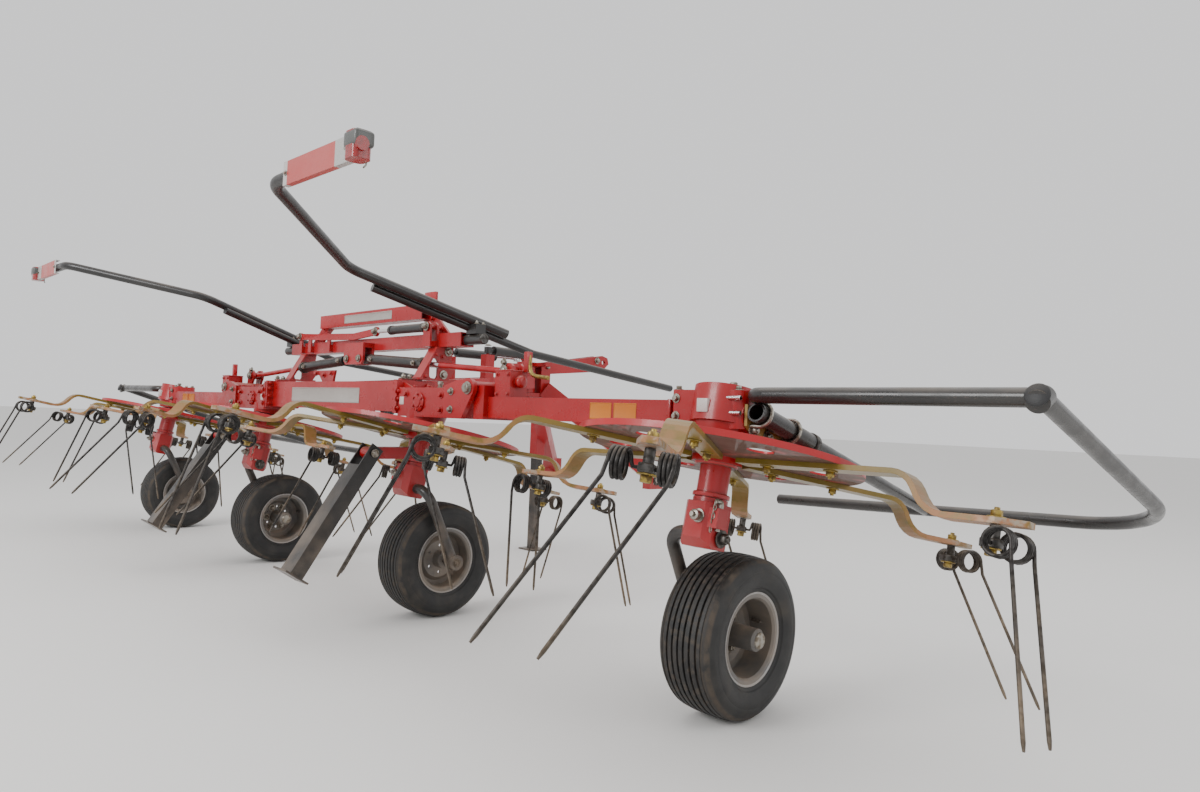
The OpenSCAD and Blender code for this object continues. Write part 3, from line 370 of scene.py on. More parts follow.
zinc = steel("zinc_plate", (0.36, 0.34, 0.30), 0.38, (0.20, 0.17, 0.13))
yellow_zinc = steel("yellow_zinc_plate", (0.40, 0.29, 0.08), 0.38, (0.20, 0.14, 0.06))
dark_steel = steel("dark_steel", (0.10, 0.095, 0.09), 0.42, (0.05, 0.045, 0.04), 0.85)


def bolted(name, body, spots, across, material=zinc, stud=0.0):
    """Bolts or nuts at (point in millimetres, direction) spots."""
    bolt = hex_bolt(across / 1000, stud / 1000)
    places = [facing(at(*point), direction, 0.4 * i) for i, (point, direction) in enumerate(spots)]
    return fitted(repeated(bolt, places, name), body, material)


bolted("beam_flange_bolts", "frame",
       [((side * 534, y, z), (-side, 0, 0)) for side in (-1, 1) for y in (-67, 67)
        for z in (738, 772, 806, 830)], 13, red_frame)
bolted("beam_flange_nuts", "frame",
       [((side * 562.5, y, z), (side, 0, 0)) for side in (-1, 1) for y in (-76, 76)
        for z in (738, 772, 800)], 13, red_frame, 6)

plate_paint = enamel("bare_plate_print", (0.32, 0.29, 0.265), (0.38, 0.345, 0.32), 0.42, 0.2, 0.2, 0.1)
plates = [block("beam_plate", (-338, -51.2, 752), (244, -50, 812), 5),
          block("top_beam_plate", (-190, 101, 1103), (200, 102.2, 1138), 4)]
for plate in plates:
    pressed(plate, REARWARD, 0.003, 0.0012, -0.0005)
    fitted(plate, "frame", plate_paint)
bolted("bracket_bolts", "frame",
       [((x, -6.2, z), (0, -1, 0)) for x, z in ((-205, 876), (-140, 868), (-75, 876))], 13, red_frame)


# Inner gear housings: iron castings with a bolted round cover on the rear and a breather on top, their bolts
# painted over. The hinge pins end in zinc caps, and a small bare label sits beside each cover.
def turned(name, outline, steps=40):
    """A turned piece about Z, its outline of (radius, height) in metres drawn out from one point and spun."""
    bpy.ops.object.select_all(action="DESELECT")
    bpy.ops.mesh.primitive_plane_add(size=0.001)
    piece = bpy.context.object
    piece.name = name
    bpy.context.tool_settings.mesh_select_mode = (True, False, False)
    bpy.ops.object.mode_set(mode="EDIT")
    bpy.ops.mesh.merge(type="CENTER")
    points = [Vector((radius, 0, height)) for radius, height in outline]
    bpy.ops.transform.translate(value=points[0])
    for last, point in zip(points, points[1:]):
        bpy.ops.mesh.extrude_vertices_move(TRANSFORM_OT_translate={"value": point - last})
    bpy.ops.mesh.select_all(action="SELECT")
    bpy.ops.mesh.spin(steps=steps, angle=2 * math.pi, center=(0, 0, 0), axis=(0, 0, 1))
    closed()
    bpy.context.tool_settings.mesh_select_mode = (False, False, True)
    return piece


def ring(name, places, outline, body, material, steps=40):
    """Turned pieces at their places on a body, from an outline in millimetres."""
    piece = turned(name, [(radius / 1000, height / 1000) for radius, height in outline], steps)
    return fitted(repeated(piece, places, name), body, material, 40)


COVER_X, COVER_Z = 700, 762
ring("housing_covers", [facing(at(side * COVER_X, -74.5, COVER_Z), (0, -1, 0)) for side in (-1, 1)],
     [(0, 0), (34, 0), (34, 5), (32, 6.5), (20, 7), (17, 11), (0, 11)], "frame", red_frame)
bolted("housing_cover_bolts", "frame",
       [((side * COVER_X + 27 * math.cos(a), -80.5, COVER_Z + 27 * math.sin(a)), (0, -1, 0))
        for side in (-1, 1) for a in (0.5, 1.55, 2.6, 3.65, 4.7, 5.75)], 8, red_frame)
bolted("housing_bosses", "frame",
       [((side * x, -75, z), (0, -1, 0)) for side in (-1, 1)
        for x, z in ((618, 790), (832, 788), (832, 738))], 14, red_frame)
bolted("housing_lid_bolts", "frame",
       [((side * x, y, 813.2), (0, 0, 1)) for side in (-1, 1) for x in (640, 728, 846) for y in (-56, 56)],
       12, red_frame)
ring("housing_breathers", [facing(at(side * 690, 18, 813), (0, 0, 1)) for side in (-1, 1)],
     [(0, 0), (13, 0), (13, 5), (8, 7), (8, 15), (11, 16), (11, 24), (8, 27), (0, 27)],
     "frame", zinc, 24)
label_paint = enamel("bare_label_print", (0.58, 0.56, 0.53), (0.62, 0.60, 0.56), 0.4, 0.1, 0.1, 0.1)
for name, side in SIDES:
    label = block(f"housing_label_{name}", (side * 590 - 14, -76, 752), (side * 590 + 14, -75, 780), 1.0, 2)
    fitted(label, "frame", label_paint)
ring("hinge_pin_caps", [facing(at(side * 995, y, 812), (0, look, 0)) for side in (-1, 1)
                        for y, look in ((-86.3, -1), (136, 1))],
     [(0, 0), (21, 0), (21, 4), (15.5, 4.5), (15.5, 12), (13.5, 14), (0, 14)], "frame", zinc, 32)
bolted("hinge_ear_bolts", "frame", [((side * x, -86.3, z), (0, -1, 0)) for side in (-1, 1)
                                    for x, z in ((905, 800), (905, 740))], 14, zinc, 5)

# Portal: two K shaped uprights of cut plate bolted on the beam, two box tubes across and a round pivot tube.
# Masks paint the pivot tube's ends and the lock cylinder black and bare its rod. Pins end in zinc heads.
red_portal = enamel("red_portal_enamel", fresh_red, faded_red, 0.26, masks=(
    (within(("X|", 0.6866, 0.80), ("Y", -0.25, -0.18)), (0.030, 0.030, 0.030), 0.1),
    (within(("X", 0.229, 0.481), ("Y", -0.283, -0.245), ("Z", 1.034, 1.070)), (0.02, 0.02, 0.021), 0.1),
    (within(("X", 0.141, 0.229), ("Y", -0.273, -0.255), ("Z", 1.043, 1.061)), (0.5, 0.5, 0.5), 0.0),
))
coated(red_portal, "portal", "upright_left", "upright_right")
ring("upright_pins", [facing(at(side * 560, y, z), (side, 0, 0)) for side in (-1, 1)
                      for y, z in ((118, 872), (136, 960))],
     [(0, 0), (17, 0), (17, 3), (11, 3.5), (11, 12), (9, 14), (0, 14)], "frame", zinc, 28)
bolted("upright_foot_bolts", "frame",
       [((side * 528, y, 848.3), (0, 0, 1)) for side in (-1, 1) for y in (-34, -8)], 17, zinc, 8)
bolted("upright_plate_bolts", "frame", [((side * 560, y, z), (side, 0, 0)) for side in (-1, 1)
                                        for y, z in ((40, 862), (112, 940), (84, 946))], 12, red_portal)
lug = block("top_beam_lug", (448, 92, 1132), (524, 102, 1190), 1.5)
picked(lug, lambda centre, normal: normal.z > 0.9)
bpy.ops.transform.resize(value=(0.45, 1, 1))
bpy.ops.transform.translate(value=(-0.012, 0, 0))
bpy.ops.object.mode_set(mode="OBJECT")
fitted(lug, "frame", red_portal)
ring("pivot_tube_plugs", [facing(at(side * 786, 130, 1000), (side, 0, 0)) for side in (-1, 1)],
     [(0, -2), (17, -2), (19.4, -1), (19.4, 2), (17, 5), (0, 6)], "frame", dark_steel, 32)
ANCHOR_X, ANCHOR_Z = 50, 940
LEVER_X, LEVER_Z = 1020, 876
ring("anchor_pin_heads", [facing(at(side * ANCHOR_X, 46, ANCHOR_Z), (0, -1, 0)) for side in (-1, 1)],
     [(0, 0), (16, 0), (16, 3), (11, 3.4), (11, 9), (9, 10.5), (0, 10.5)], "frame", zinc, 28)
ring("lock_cylinder_glands", [facing(at(x, 82, 1052), (look, 0, 0)) for x, look in ((246, -1), (464, 1))],
     [(0, -2), (18.6, -2), (18.6, 13), (16, 16), (12, 16), (12, 21), (0, 21)],
     "frame", dark_steel)
bolted("lock_eye_nuts", "frame", [((120, 76.5, 1052), (0, -1, 0)), ((-560, 76.5, 1058), (0, -1, 0)),
                                  ((520, 57.5, 1052), (0, -1, 0))], 19, zinc, 6)
bolted("tower_end_bolts", "frame", [((side * x, 139.5, z), (0, -1, 0)) for side in (-1, 1)
                                    for x, z in ((500, 1052), (440, 1096))], 13, red_portal)

# Fold cylinders: black enamelled barrels with a gland nut. The rods are chromed where they slide and painted
# red towards the wing. Each port has a plugged pipe stub, as when the hoses are taken off.
black_enamel = enamel("black_enamel", (0.009, 0.009, 0.0095), (0.021, 0.0195, 0.0185), 0.28, 0.35, 0.22, 0.45)
chrome = steel("chromed_rod", (0.70, 0.70, 0.72), 0.12, (0.55, 0.54, 0.52), 1.0, 0.15, 0.1)
coated(black_enamel, "barrel_left", "barrel_right", "damper_body_left", "damper_body_right", "front_stand",
       "rear_stand_left", "rear_stand_right", "board_bars")
coated(chrome, "damper_rod_left", "damper_rod_right")
tie = Finish("fold_rod_steel", 0.14)
red_end = within(("X|", 0.602, 1.2))(tie)
tie.feed(tie.shader.inputs["Metallic"], tie.reckon("SUBTRACT", 1.0, red_end))
tie_red = tie.mixed(tie.spots(0.05, 0.35, 0.65), fresh_red, faded_red)
coated(tie.surface(tie.mixed(red_end, (0.66, 0.66, 0.68), tie_red), tie.between(red_end, 0, 1, 0.14, 0.30)),
       "rod_left", "rod_right")
for name, side in SIDES:
    start = at(side * ANCHOR_X, 74, ANCHOR_Z)
    run = (at(side * LEVER_X, 74, LEVER_Z) - start).normalized()
    ring(f"cylinder_gland_{name}", [facing(start + run * 0.430, run)],
         [(0, 0), (25, 0), (26, 2), (26, 20), (24, 23), (15, 24), (15, 27), (0, 27)],
         f"cylinder_{name}", dark_steel)
    ring(f"cylinder_ports_{name}", [facing(start + run * along + Vector((0, -0.020, 0)), (0, -1, 0))
                                    for along in (0.085, 0.405)],
         [(0, 0), (10, 0), (10, 7), (7, 8), (7, 12), (0, 12)], f"cylinder_{name}", zinc, 20)
    ring(f"rod_eye_{name}", [facing(start + run * 0.9721 + Vector((0, look * 0.0152, 0)), (0, look, 0))
                             for look in (-1, 1)],
         [(0, -3), (11, -3), (11, 0.6), (9, 1.0), (0, 1.0)], f"piston_{name}", dark_steel, 28)


# Wing beams: box tubes with two bare yellow plates side by side on the rear face, and the fold lever's pin.
# The closed box beside the lever has a domed knob, bolts, a lid and a socket for the plated hand crank.
def bent(name, points, radius, bend=0.0, ends=(1.0, 1.0), cyclic=False, sides=3):
    """A round wire or rod through points in metres, with its corners eased by a bend length."""
    path = [Vector(points[0])]
    for before, corner, after in zip(points, points[1:], points[2:]):
        corner = Vector(corner)
        if bend:
            start = corner + (Vector(before) - corner).normalized() * bend
            end = corner + (Vector(after) - corner).normalized() * bend
            for i in range(7):
                t = i / 6
                path.append(start * (1 - t) ** 2 + corner * 2 * t * (1 - t) + end * t * t)
        else:
            path.append(corner)
    path.append(Vector(points[-1]))
    bpy.ops.object.select_all(action="DESELECT")
    bpy.ops.curve.primitive_bezier_curve_add()
    wire = bpy.context.object
    wire.name = name
    wire.data.splines.remove(wire.data.splines[0])
    spline = wire.data.splines.new("POLY")
    spline.points.add(len(path) - 1)
    for i, (point, place) in enumerate(zip(spline.points, path)):
        point.co = (*place, 1)
        point.radius = ends[0] if i == 0 else ends[1] if i == len(path) - 1 else 1.0
    spline.use_cyclic_u = cyclic
    wire.data.bevel_depth = radius
    wire.data.bevel_resolution = sides
    wire.data.use_fill_caps = not cyclic
    bpy.ops.object.convert(target="MESH")
    piece = bpy.context.object
    picked(piece, lambda centre, normal: True)
    closed()
    return piece


red_wing = enamel("red_wing_enamel", fresh_red, faded_red, 0.25)
yellow_print = enamel("yellow_plate_print", (0.50, 0.140, 0.0), (0.56, 0.170, 0.0), 0.5, 0.1, 0.08, 0.05)
coated(red_wing, "wing_beam_left", "wing_beam_right")
for name, side in SIDES:
    body = f"wing_{name}"
    for k, x in enumerate((1560, 1652)):
        plate = block(f"wing_plate_{name}_{k}", (side * x - 42, -45.8, 729), (side * x + 42, -45, 775), 0.8)
        pressed(plate, REARWARD, 0.002, 0.0008, -0.0003)
        fitted(plate, body, yellow_print)
    ring(f"lever_pin_{name}", [facing(at(side * LEVER_X, 38.5, LEVER_Z), (0, -1, 0))],
         [(0, 0), (19, 0), (19, 3), (12, 3.5), (12, 7), (10, 8.5), (0, 8.5)], body, zinc, 32)
    bolted(f"lever_bolts_{name}", body,
           [((side * x, 47.3, z), (0, -1, 0)) for x, z in ((1052, 826), (1012, 905))], 15)
    bolted(f"box_bolts_{name}", body,
           [((side * x, -40.2, z), (0, -1, 0)) for x in (1088, 1142) for z in (796, 858)], 8, red_wing)
    ring(f"box_knob_{name}", [facing(at(side * 1168, -6, 836), (side, 0, 0))],
         [(0, -8), (19, -8), (20, -6), (20, 4), (17, 8), (9, 10.5), (0, 11.5)], body, red_wing)
    lid = block(f"box_lid_{name}", (side * 1115 - 40, -42, 868.6), (side * 1115 + 40, 32, 873), 1.5)
    fitted(lid, body, red_wing)
    bolted(f"hinge_block_bolts_{name}", body,
           [((side * 1030, y, 798.3), (0, 0, 1)) for y in (-44, 30)], 15, red_wing)
    seam = block(f"wing_end_seam_{name}", (side * 1806 - 6, -47, 717), (side * 1806 + 5, 47, 788), 2.4)
    fitted(seam, body, red_wing)

    crank = bent(f"hand_crank_{name}", [at(side * x, y, z) for x, y, z in (
        (1166, 22, 928), (1176, 22, 868), (1196, 22, 856), (1262, 22, 850))], 0.0065, 0.012)
    fitted(crank, body, yellow_zinc)
    socket = block(f"crank_socket_{name}", (side * 1162 - 11, 12, 868), (side * 1162 + 11, 32, 934), 3)
    fitted(socket, body, red_wing)

# Outer gear housings: castings with a domed back. Two steel studs run along the rear to the guard's clamp,
# six bolts hold the lid, and one small label is left bare.
OUTER_X = 1950
red_casting = enamel("red_casting_enamel", (0.32, 0.002, 0.004), (0.41, 0.013, 0.018), 0.27, top=0.35)
coated(red_casting, "outer_post_left", "outer_post_right")
for name, side in SIDES:
    body = f"wing_{name}"
    middle = side * OUTER_X
    for k, z in enumerate((793, 757)):
        stud = bent(f"clamp_stud_{name}_{k}", [at(middle + side * x, -57.5, z) for x in (40, 86.5)], 0.0055)
        fitted(stud, body, chrome)
    bolted(f"casting_lid_bolts_{name}", body,
           [((middle + side * x, y, 812.2), (0, 0, 1)) for x in (-118, -26, 66) for y in (-38, 50)], 13)
    bolted(f"casting_side_bolts_{name}", body,
           [((middle - side * 112, -55.2, z), (0, -1, 0)) for z in (745, 790)], 13)
    label_x = middle - side * 5
    label = block(f"casting_label_{name}", (label_x - 16, -88.5, 757), (label_x + 16, -77, 790), 1.0)
    fitted(label, body, label_paint)
    ring(f"casting_breather_{name}", [facing(at(middle + side * 8, 22, 812), (0, 0, 1))],
         [(0, 0), (12, 0), (12, 5), (7, 7), (7, 13), (10, 14), (10, 21), (7, 24), (0, 24)],
         body, zinc, 24)


# Bow guards: black painted round tube in one bow, its inner arm telescoping in a sleeve. Two bright hoops
# clamp the sleeve to an olive plate, which three large bolts hold on the housing. The corner is capped.
GUARD_FALL = 0.2815
SLEEVE_X = OUTER_X + 118.6


def sleeve_height(y):
    """How high the guard's falling sleeve lies at y, in millimetres."""
    return 761 - GUARD_FALL * (y + 40)


black_rubber = Finish("plug_rubber", 0.55)
rubber_dust = black_rubber.dust(0.3, 0.5)
black_rubber = black_rubber.surface(
    black_rubber.mixed(rubber_dust, (0.016, 0.016, 0.017), (0.24, 0.19, 0.14)),
    black_rubber.between(rubber_dust, 0, 1, 0.5, 0.85), 0.002, 0.25)
clamp_plate = within(("X|", 2.0355, 2.04445), ("Y", -0.39, -0.192))
guard_paint = enamel("guard_enamel", (0.011, 0.0105, 0.0105), (0.028, 0.026, 0.024), 0.24, 0.6, 0.22, 0.25,
                     masks=((clamp_plate, (0.30, 0.21, 0.05), 0.15),))
coated(guard_paint, "guard_left", "guard_right")
fall = Vector((0, 1, -GUARD_FALL)).normalized()
up = Vector((0, GUARD_FALL, 1)).normalized()
for name, side in SIDES:
    body = f"wing_{name}"
    hoops = []
    for y in (-18, 112):
        middle = at(side * SLEEVE_X, y, sleeve_height(y))
        arc = [middle + Vector((-side * 0.0245, 0, 0)) - up * 0.029,
               middle + Vector((side * 0.002, 0, 0)) - up * 0.029]
        for i in range(1, 12):
            a = -math.pi / 2 + math.pi * i / 12
            arc.append(middle + Vector((side * 0.029 * math.cos(a), 0, 0)) + up * 0.029 * math.sin(a))
        arc += [middle + Vector((side * 0.002, 0, 0)) + up * 0.029,
                middle + Vector((-side * 0.0245, 0, 0)) + up * 0.029]
        hoops.append(bent(f"guard_hoop_{name}", arc, 0.0048))
    fitted(joined(hoops[0], hoops[1:]), body, zinc).name = f"guard_hoops_{name}"
    bolted(f"guard_plate_bolts_{name}", body,
           [((side * (OUTER_X + 94.4), y, sleeve_height(y) - drop), (side, 0, 0))
            for y, drop in ((-16, 37), (118, 34), (46, 36))], 18, zinc, 7)
    ring(f"guard_corner_plug_{name}", [facing(at(side * (OUTER_X + 742), -89, 804.2), (0, -0.94, 0.342))],
         [(0, -2), (19, -2), (22.4, 0), (22.4, 2), (19, 5), (0, 6)], body, black_rubber, 32)
    ring(f"guard_sleeve_collar_{name}", [facing(at(side * SLEEVE_X, 216, sleeve_height(216)), fall)],
         [(18.5, -12), (26, -12), (27, -10), (27, 8), (25, 11), (18.5, 11)], body, dark_steel)


# Rotors: a pressed dish with an upturned rim, bolted to a cast hub, and six flat arms held by two bolts each.
# The arms are olive enamel, rubbed by hay to a sandy primer and bright steel at their toes.
def painted_shade_below(paint):
    """Faces that look down, darkened in patches: painted shade, as from dark ground below."""
    down = paint.between(paint.where("Z", "Normal"), -0.3, -0.85)
    return paint.reckon("MULTIPLY", down, paint.spots(0.06, 0.18, 0.5, 8.0))


# The dish's downward faces are painted dark brown in patches as shade.
red_dish = enamel("red_dish_enamel", (0.42, 0.004, 0.007), (0.34, 0.005, 0.008), 0.32, 0.5, 0.25, 0.2, masks=(
    (painted_shade_below, (0.085, 0.032, 0.016), 0.35),))
INNER_X = 650
# A rotor's name, middle, angle at rest, sense of turning, the side its wheel's leg lies on, and its carrier.
ROTORS = (
    ("left_outer", -OUTER_X, 33.05, -1, 1, "wing_left"),
    ("left_inner", -INNER_X, -3.05, 1, -1, "frame"),
    ("right_inner", INNER_X, 33.05, -1, 1, "frame"),
    ("right_outer", OUTER_X, -3.05, 1, -1, "wing_right"),
)
ARMS = 6


def rotor_place(x, phase, i=0.0):
    """The place of a rotor's arm: X along the arm, Z up the leaning post."""
    lean = Matrix.Rotation(math.radians(-12), 4, "X")
    spin = Matrix.Rotation(math.radians(phase + 360 / ARMS * i), 4, "Z")
    return Matrix.Translation(at(x, 0, 755)) @ lean @ spin


def arm_enamel(name, x):
    """Olive enamel whose wear grows with the distance from its rotor's middle."""
    paint = Finish(name, 0.38)
    centre = paint.node("ShaderNodeMapping")
    centre.inputs["Location"].default_value = -at(x, -28, 600)
    paint.feed(centre.inputs["Vector"], paint.place.outputs["Object"])
    far = paint.node("ShaderNodeVectorMath", operation="LENGTH")
    paint.feed(far.inputs[0], centre.outputs["Vector"])
    reach = far.outputs["Value"]
    olive = paint.mixed(paint.spots(0.07, 0.35, 0.68), (0.145, 0.098, 0.006), (0.19, 0.118, 0.016))
    rubbed = paint.reckon("MULTIPLY", paint.between(reach, 0.46, 0.60), paint.spots(0.03, 0.30, 0.55, 8.0))
    bare = paint.reckon("MULTIPLY", paint.between(reach, 0.62, 0.70), paint.spots(0.015, 0.42, 0.60, 8.0))
    colour = paint.mixed(rubbed, olive, (0.34, 0.15, 0.065))
    colour = paint.mixed(bare, colour, (0.36, 0.30, 0.23))
    worn = paint.reckon("MULTIPLY", paint.edges(), paint.spots(0.02, 0.40, 0.55, 6.0))
    colour = paint.mixed(worn, colour, (0.33, 0.23, 0.12))
    dusty = paint.dust(0.18, 0.2)
    colour = paint.mixed(dusty, colour, (0.30, 0.22, 0.15))
    paint.feed(paint.shader.inputs["Metallic"], paint.reckon("MULTIPLY", bare, 0.7))
    return paint.surface(colour, paint.between(rubbed, 0, 1, 0.34, 0.52), 0.0014, 0.12)


for name, x, phase, *_ in ROTORS:
    body = f"rotor_{name}"
    coated(red_dish, f"dish_{name}")
    coated(arm_enamel(f"arm_enamel_{name}", x), f"arms_{name}")
    spots_up, spots_down, rim_spots = [], [], []
    for i in range(ARMS):
        arm = rotor_place(x, phase, i)
        for r in (0.150, 0.318):
            spots_up.append(arm @ Matrix.Translation((r, 0, -0.1068)))
            spots_down.append(arm @ Matrix.Translation((r, 0, -0.1243)) @ Matrix.Rotation(math.pi, 4, "X"))
        hub = rotor_place(x, phase, i + 0.5)
        rim_spots.append(hub @ Matrix.Translation((0.096, 0, -0.1065)))
    fitted(repeated(hex_bolt(0.016), spots_up, f"arm_bolts_{name}"), body, yellow_zinc)
    fitted(repeated(hex_bolt(0.017, 0.008), spots_down, f"arm_nuts_{name}"), body, yellow_zinc)
    fitted(repeated(hex_bolt(0.013), rim_spots, f"hub_bolts_{name}"), body, zinc)
    hub_ring = turned(f"hub_seal_{name}", [(r / 1000, s / 1000) for r, s in (
        (39.2, -134), (50, -134), (53, -131), (54, -127), (54, -122), (39.2, -122))], 48)
    hub_ring.data.transform(rotor_place(x, phase))
    fitted(hub_ring, body, red_dish)

# Spring tines: one 8 mm wire of dark oiled spring steel makes both coils, the bridge between them and two
# legs that trail the turn. A pressed saddle and one bolt through the arm's toe clamp the bridge.
tine_wire = steel("tine_spring_steel", (0.045, 0.042, 0.040), 0.38, (0.022, 0.020, 0.019), 0.75, 0.3, 0.9)
COIL_X, COIL_Z, COIL_R = 700, -237.1, 25.5
CLAMP_X = 0.6745
COIL_STEPS = 70
for name, x, phase, turn, *_ in ROTORS:
    halves = []
    for half in (-1, 1):
        run = []
        for i in range(1, COIL_STEPS + 1):
            a = math.radians(180 - 18 * i)
            out = 28.5 + 27 * i / COIL_STEPS
            coil = (COIL_X + COIL_R * math.cos(a), half * out, COIL_Z + COIL_R * math.sin(a))
            run.append(Vector(coil) / 1000)
        foot = Vector((COIL_X + COIL_R + 96, half * 55.5 - turn * 130, COIL_Z - 318)) / 1000
        last = run[-1]
        soft = last + Vector((0.0012, 0, -0.018))
        run += [soft + (foot - soft) * t for t in (0.03, 0.35, 0.7, 0.96)] + [foot]
        halves.append(run)
    bridge = [Vector((COIL_X - COIL_R, y, COIL_Z)) / 1000 for y in (-25.5, -14, 0, 14, 25.5)]
    wire = bent(f"tine_{name}", halves[0][::-1] + bridge + halves[1], 0.0039, ends=(0.6, 0.6), sides=2)
    wire.data.materials.append(tine_wire)
    saddle = block("saddle", (652.5, -14 + ROW_BACK, -245.6), (688.5, 14 + ROW_BACK, -228.6), 2.5)
    saddle.data.materials.append(dark_steel)
    post = turned("spacer", [(0, -0.229), (0.010, -0.229), (0.010, -0.2035), (0, -0.2035)], 20)
    post.data.transform(Matrix.Translation((CLAMP_X, 0, 0)))
    post.data.materials.append(dark_steel)
    nut = hex_bolt(0.019, 0.009)
    nut.data.transform(Matrix.Translation((CLAMP_X, 0, -0.1898)))
    nut.data.materials.append(yellow_zinc)
    head = hex_bolt(0.019)
    head.data.transform(Matrix.Translation((0.6705, 0, -0.2456)) @ Matrix.Rotation(math.pi, 4, "X"))
    head.data.materials.append(yellow_zinc)
    joined(wire, (saddle, post, nut, head))
    tines = repeated(wire, [rotor_place(x, phase, i) for i in range(ARMS)], f"spring_tines_{name}")
    fitted(tines, f"rotor_{name}", None, 50)
    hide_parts(f"tines_{name}")

# Wheel legs: a cast red bracket turns on the post and takes a bent tube, which masks paint black. A castle
# nut closes the bracket, a dark bolt clamps the foot, and a short link chain keeps the index pin.
WHEEL_Y, WHEEL_Z = 60, 202.5
for name, x, *_, side, carrier in ROTORS:
    body = f"leg_{name}"
    low_tube = within(("Z", -0.1, 0.34))
    far_x = sorted((x / 1000 + side * 0.0446, x / 1000 + side * 0.3))
    coated(enamel(f"leg_enamel_{name}", fresh_red, faded_red, 0.28, 0.6, 0.3, 0.55, masks=(
        (low_tube, (0.014, 0.014, 0.015), 0.05), (within(("X", *far_x)), (0.014, 0.014, 0.015), 0.05))), body)
    post_frame = rotor_place(x, 0)
    castle = turned("castle", [(r / 1000, z / 1000) for r, z in (
        (0, 0), (17, 0), (17, 3), (12, 3.5), (12, 9), (13, 10), (13, 20), (9, 22), (6, 22), (6, 30),
        (0, 30))], 12)
    castle.data.transform(post_frame @ facing(Vector((-side * 12, -52, -262)) / 1000, (0, -1, 0)))
    fitted(castle, body, zinc).name = f"castle_nut_{name}"
    clamp = hex_bolt(0.024, 0.010)
    clamp.data.transform(post_frame @ facing(Vector((-side * 47.2, 2, -306)) / 1000, (-side, 0, 0)))
    fitted(clamp, body, dark_steel).name = f"foot_bolt_{name}"
    index_pin = bent(f"index_pin_{name}", [post_frame @ (Vector(p) / 1000) for p in (
        (-side * 52.5, -24, -292), (-side * 52.5, -24, -222), (-side * 52.5, -46, -222))], 0.0055, 0.008)
    fitted(index_pin, body, zinc)
    links = []
    for k in range(7):
        hang = Vector((-side * (52.5 - 1.5 * k), -48 + 1.2 * k, -226 - 10.5 * k)) / 1000
        loop = []
        for i in range(12):
            a = 2 * math.pi * i / 12
            wide, tall = 0.0042 * math.cos(a), 0.0078 * math.sin(a)
            loop.append(post_frame @ (hang + (Vector((wide, 0, tall)) if k % 2 else Vector((0, wide, tall)))))
        links.append(bent("link", loop, 0.0013, cyclic=True, sides=1))
    fitted(joined(links[0], links[1:]), body, zinc).name = f"pin_chain_{name}"
    collar = turned(f"post_collar_{name}", [(r / 1000, s / 1000) for r, s in (
        (38.2, -212), (45, -212), (46, -210), (46, -203), (44, -201), (38.2, -201))], 48)
    collar.data.transform(post_frame)
    fitted(collar, carrier, red_casting)
    ring(f"spindle_nut_{name}", [facing(at(x + side * 132.5, WHEEL_Y, WHEEL_Z), (side, 0, 0))],
         [(0, 0), (14, 0), (14, 7), (9, 8), (9, 11), (0, 11)], body, dark_steel, 6)


# Wheels: ribbed implement tyres with worn, dusty ribs on grey pressed rims. The rims' grey is painted darker
# as shade, and the bead ring paler as a painted highlight. The hub is closed by a bright cap and held on the
# disc by six nuts, and a valve stands in the well.
def tyre_rubber(name, x):
    """Black rubber, brown with dust in its grooves and on the ribs' flanks."""
    rubber = Finish(name, 0.7, edge=0.002)
    centre = rubber.node("ShaderNodeMapping")
    centre.inputs["Location"].default_value = -at(x, WHEEL_Y, WHEEL_Z)
    rubber.feed(centre.inputs["Vector"], rubber.place.outputs["Object"])
    flat = rubber.node("ShaderNodeVectorMath", operation="MULTIPLY")
    rubber.feed(flat.inputs[0], centre.outputs["Vector"])
    flat.inputs[1].default_value = (0, 1, 1)
    far = rubber.node("ShaderNodeVectorMath", operation="LENGTH")
    rubber.feed(far.inputs[0], flat.outputs["Vector"])
    radius = far.outputs["Value"]
    base = rubber.mixed(rubber.spots(0.05, 0.35, 0.65), (0.008, 0.0078, 0.0076), (0.017, 0.016, 0.015))
    groove = rubber.reckon("MULTIPLY", rubber.between(radius, 0.1985, 0.194),
                           rubber.between(radius, 0.184, 0.189))
    caked = rubber.reckon("MULTIPLY", groove, rubber.spots(0.03, 0.30, 0.62, 8.0))
    smear = rubber.reckon("MULTIPLY", rubber.spots(0.07, 0.50, 0.82, 9.0), 0.26)
    tread = rubber.reckon("MULTIPLY", rubber.between(radius, 0.186, 0.2),
                          rubber.spots(0.016, 0.46, 0.70, 8.0))
    dusty = rubber.reckon("MAXIMUM", rubber.reckon("MAXIMUM", rubber.reckon("MULTIPLY", caked, 0.55), smear),
                          rubber.reckon("MULTIPLY", tread, 0.4))
    colour = rubber.mixed(dusty, base, (0.12, 0.092, 0.068))
    return rubber.surface(colour, rubber.between(dusty, 0, 0.6, 0.56, 0.88), 0.0022, 0.22)


rib_line = []
for k, groove in enumerate((-57, -42.5, -25.5, -8.5, 8.5, 25.5, 42.5, 57)):
    deep = 2.2 if abs(groove) > 50 else 6.0
    for step, drop in ((-3.0, 0), (-2.0, deep), (2.0, deep), (3.0, 0)):
        s = groove + step
        rib_line.append((202.4 - 9.0 * (s / 82) ** 2 - drop, s))
side_line = [(102.2, 59), (102.2, 61), (113, 64.5), (118, 68.5), (124, 71), (127, 75), (131, 76.2),
             (140, 79.4), (152, 81.8), (163, 82.2), (165, 81.4), (167, 81.9), (176, 79.8), (186, 75.0),
             (192, 69.8), (196.4, 64.5)]
tyre_line = ([(r, -s) for r, s in side_line] + rib_line + side_line[::-1])
tyre_line.append(tyre_line[0])
# The rim's grey is painted darker than the bead as shade in the well.
rim_painted_shade = enamel("rim_enamel_painted_shade", (0.105, 0.105, 0.104), (0.075, 0.072, 0.067), 0.34, 0.5, 0.3, 0.5)
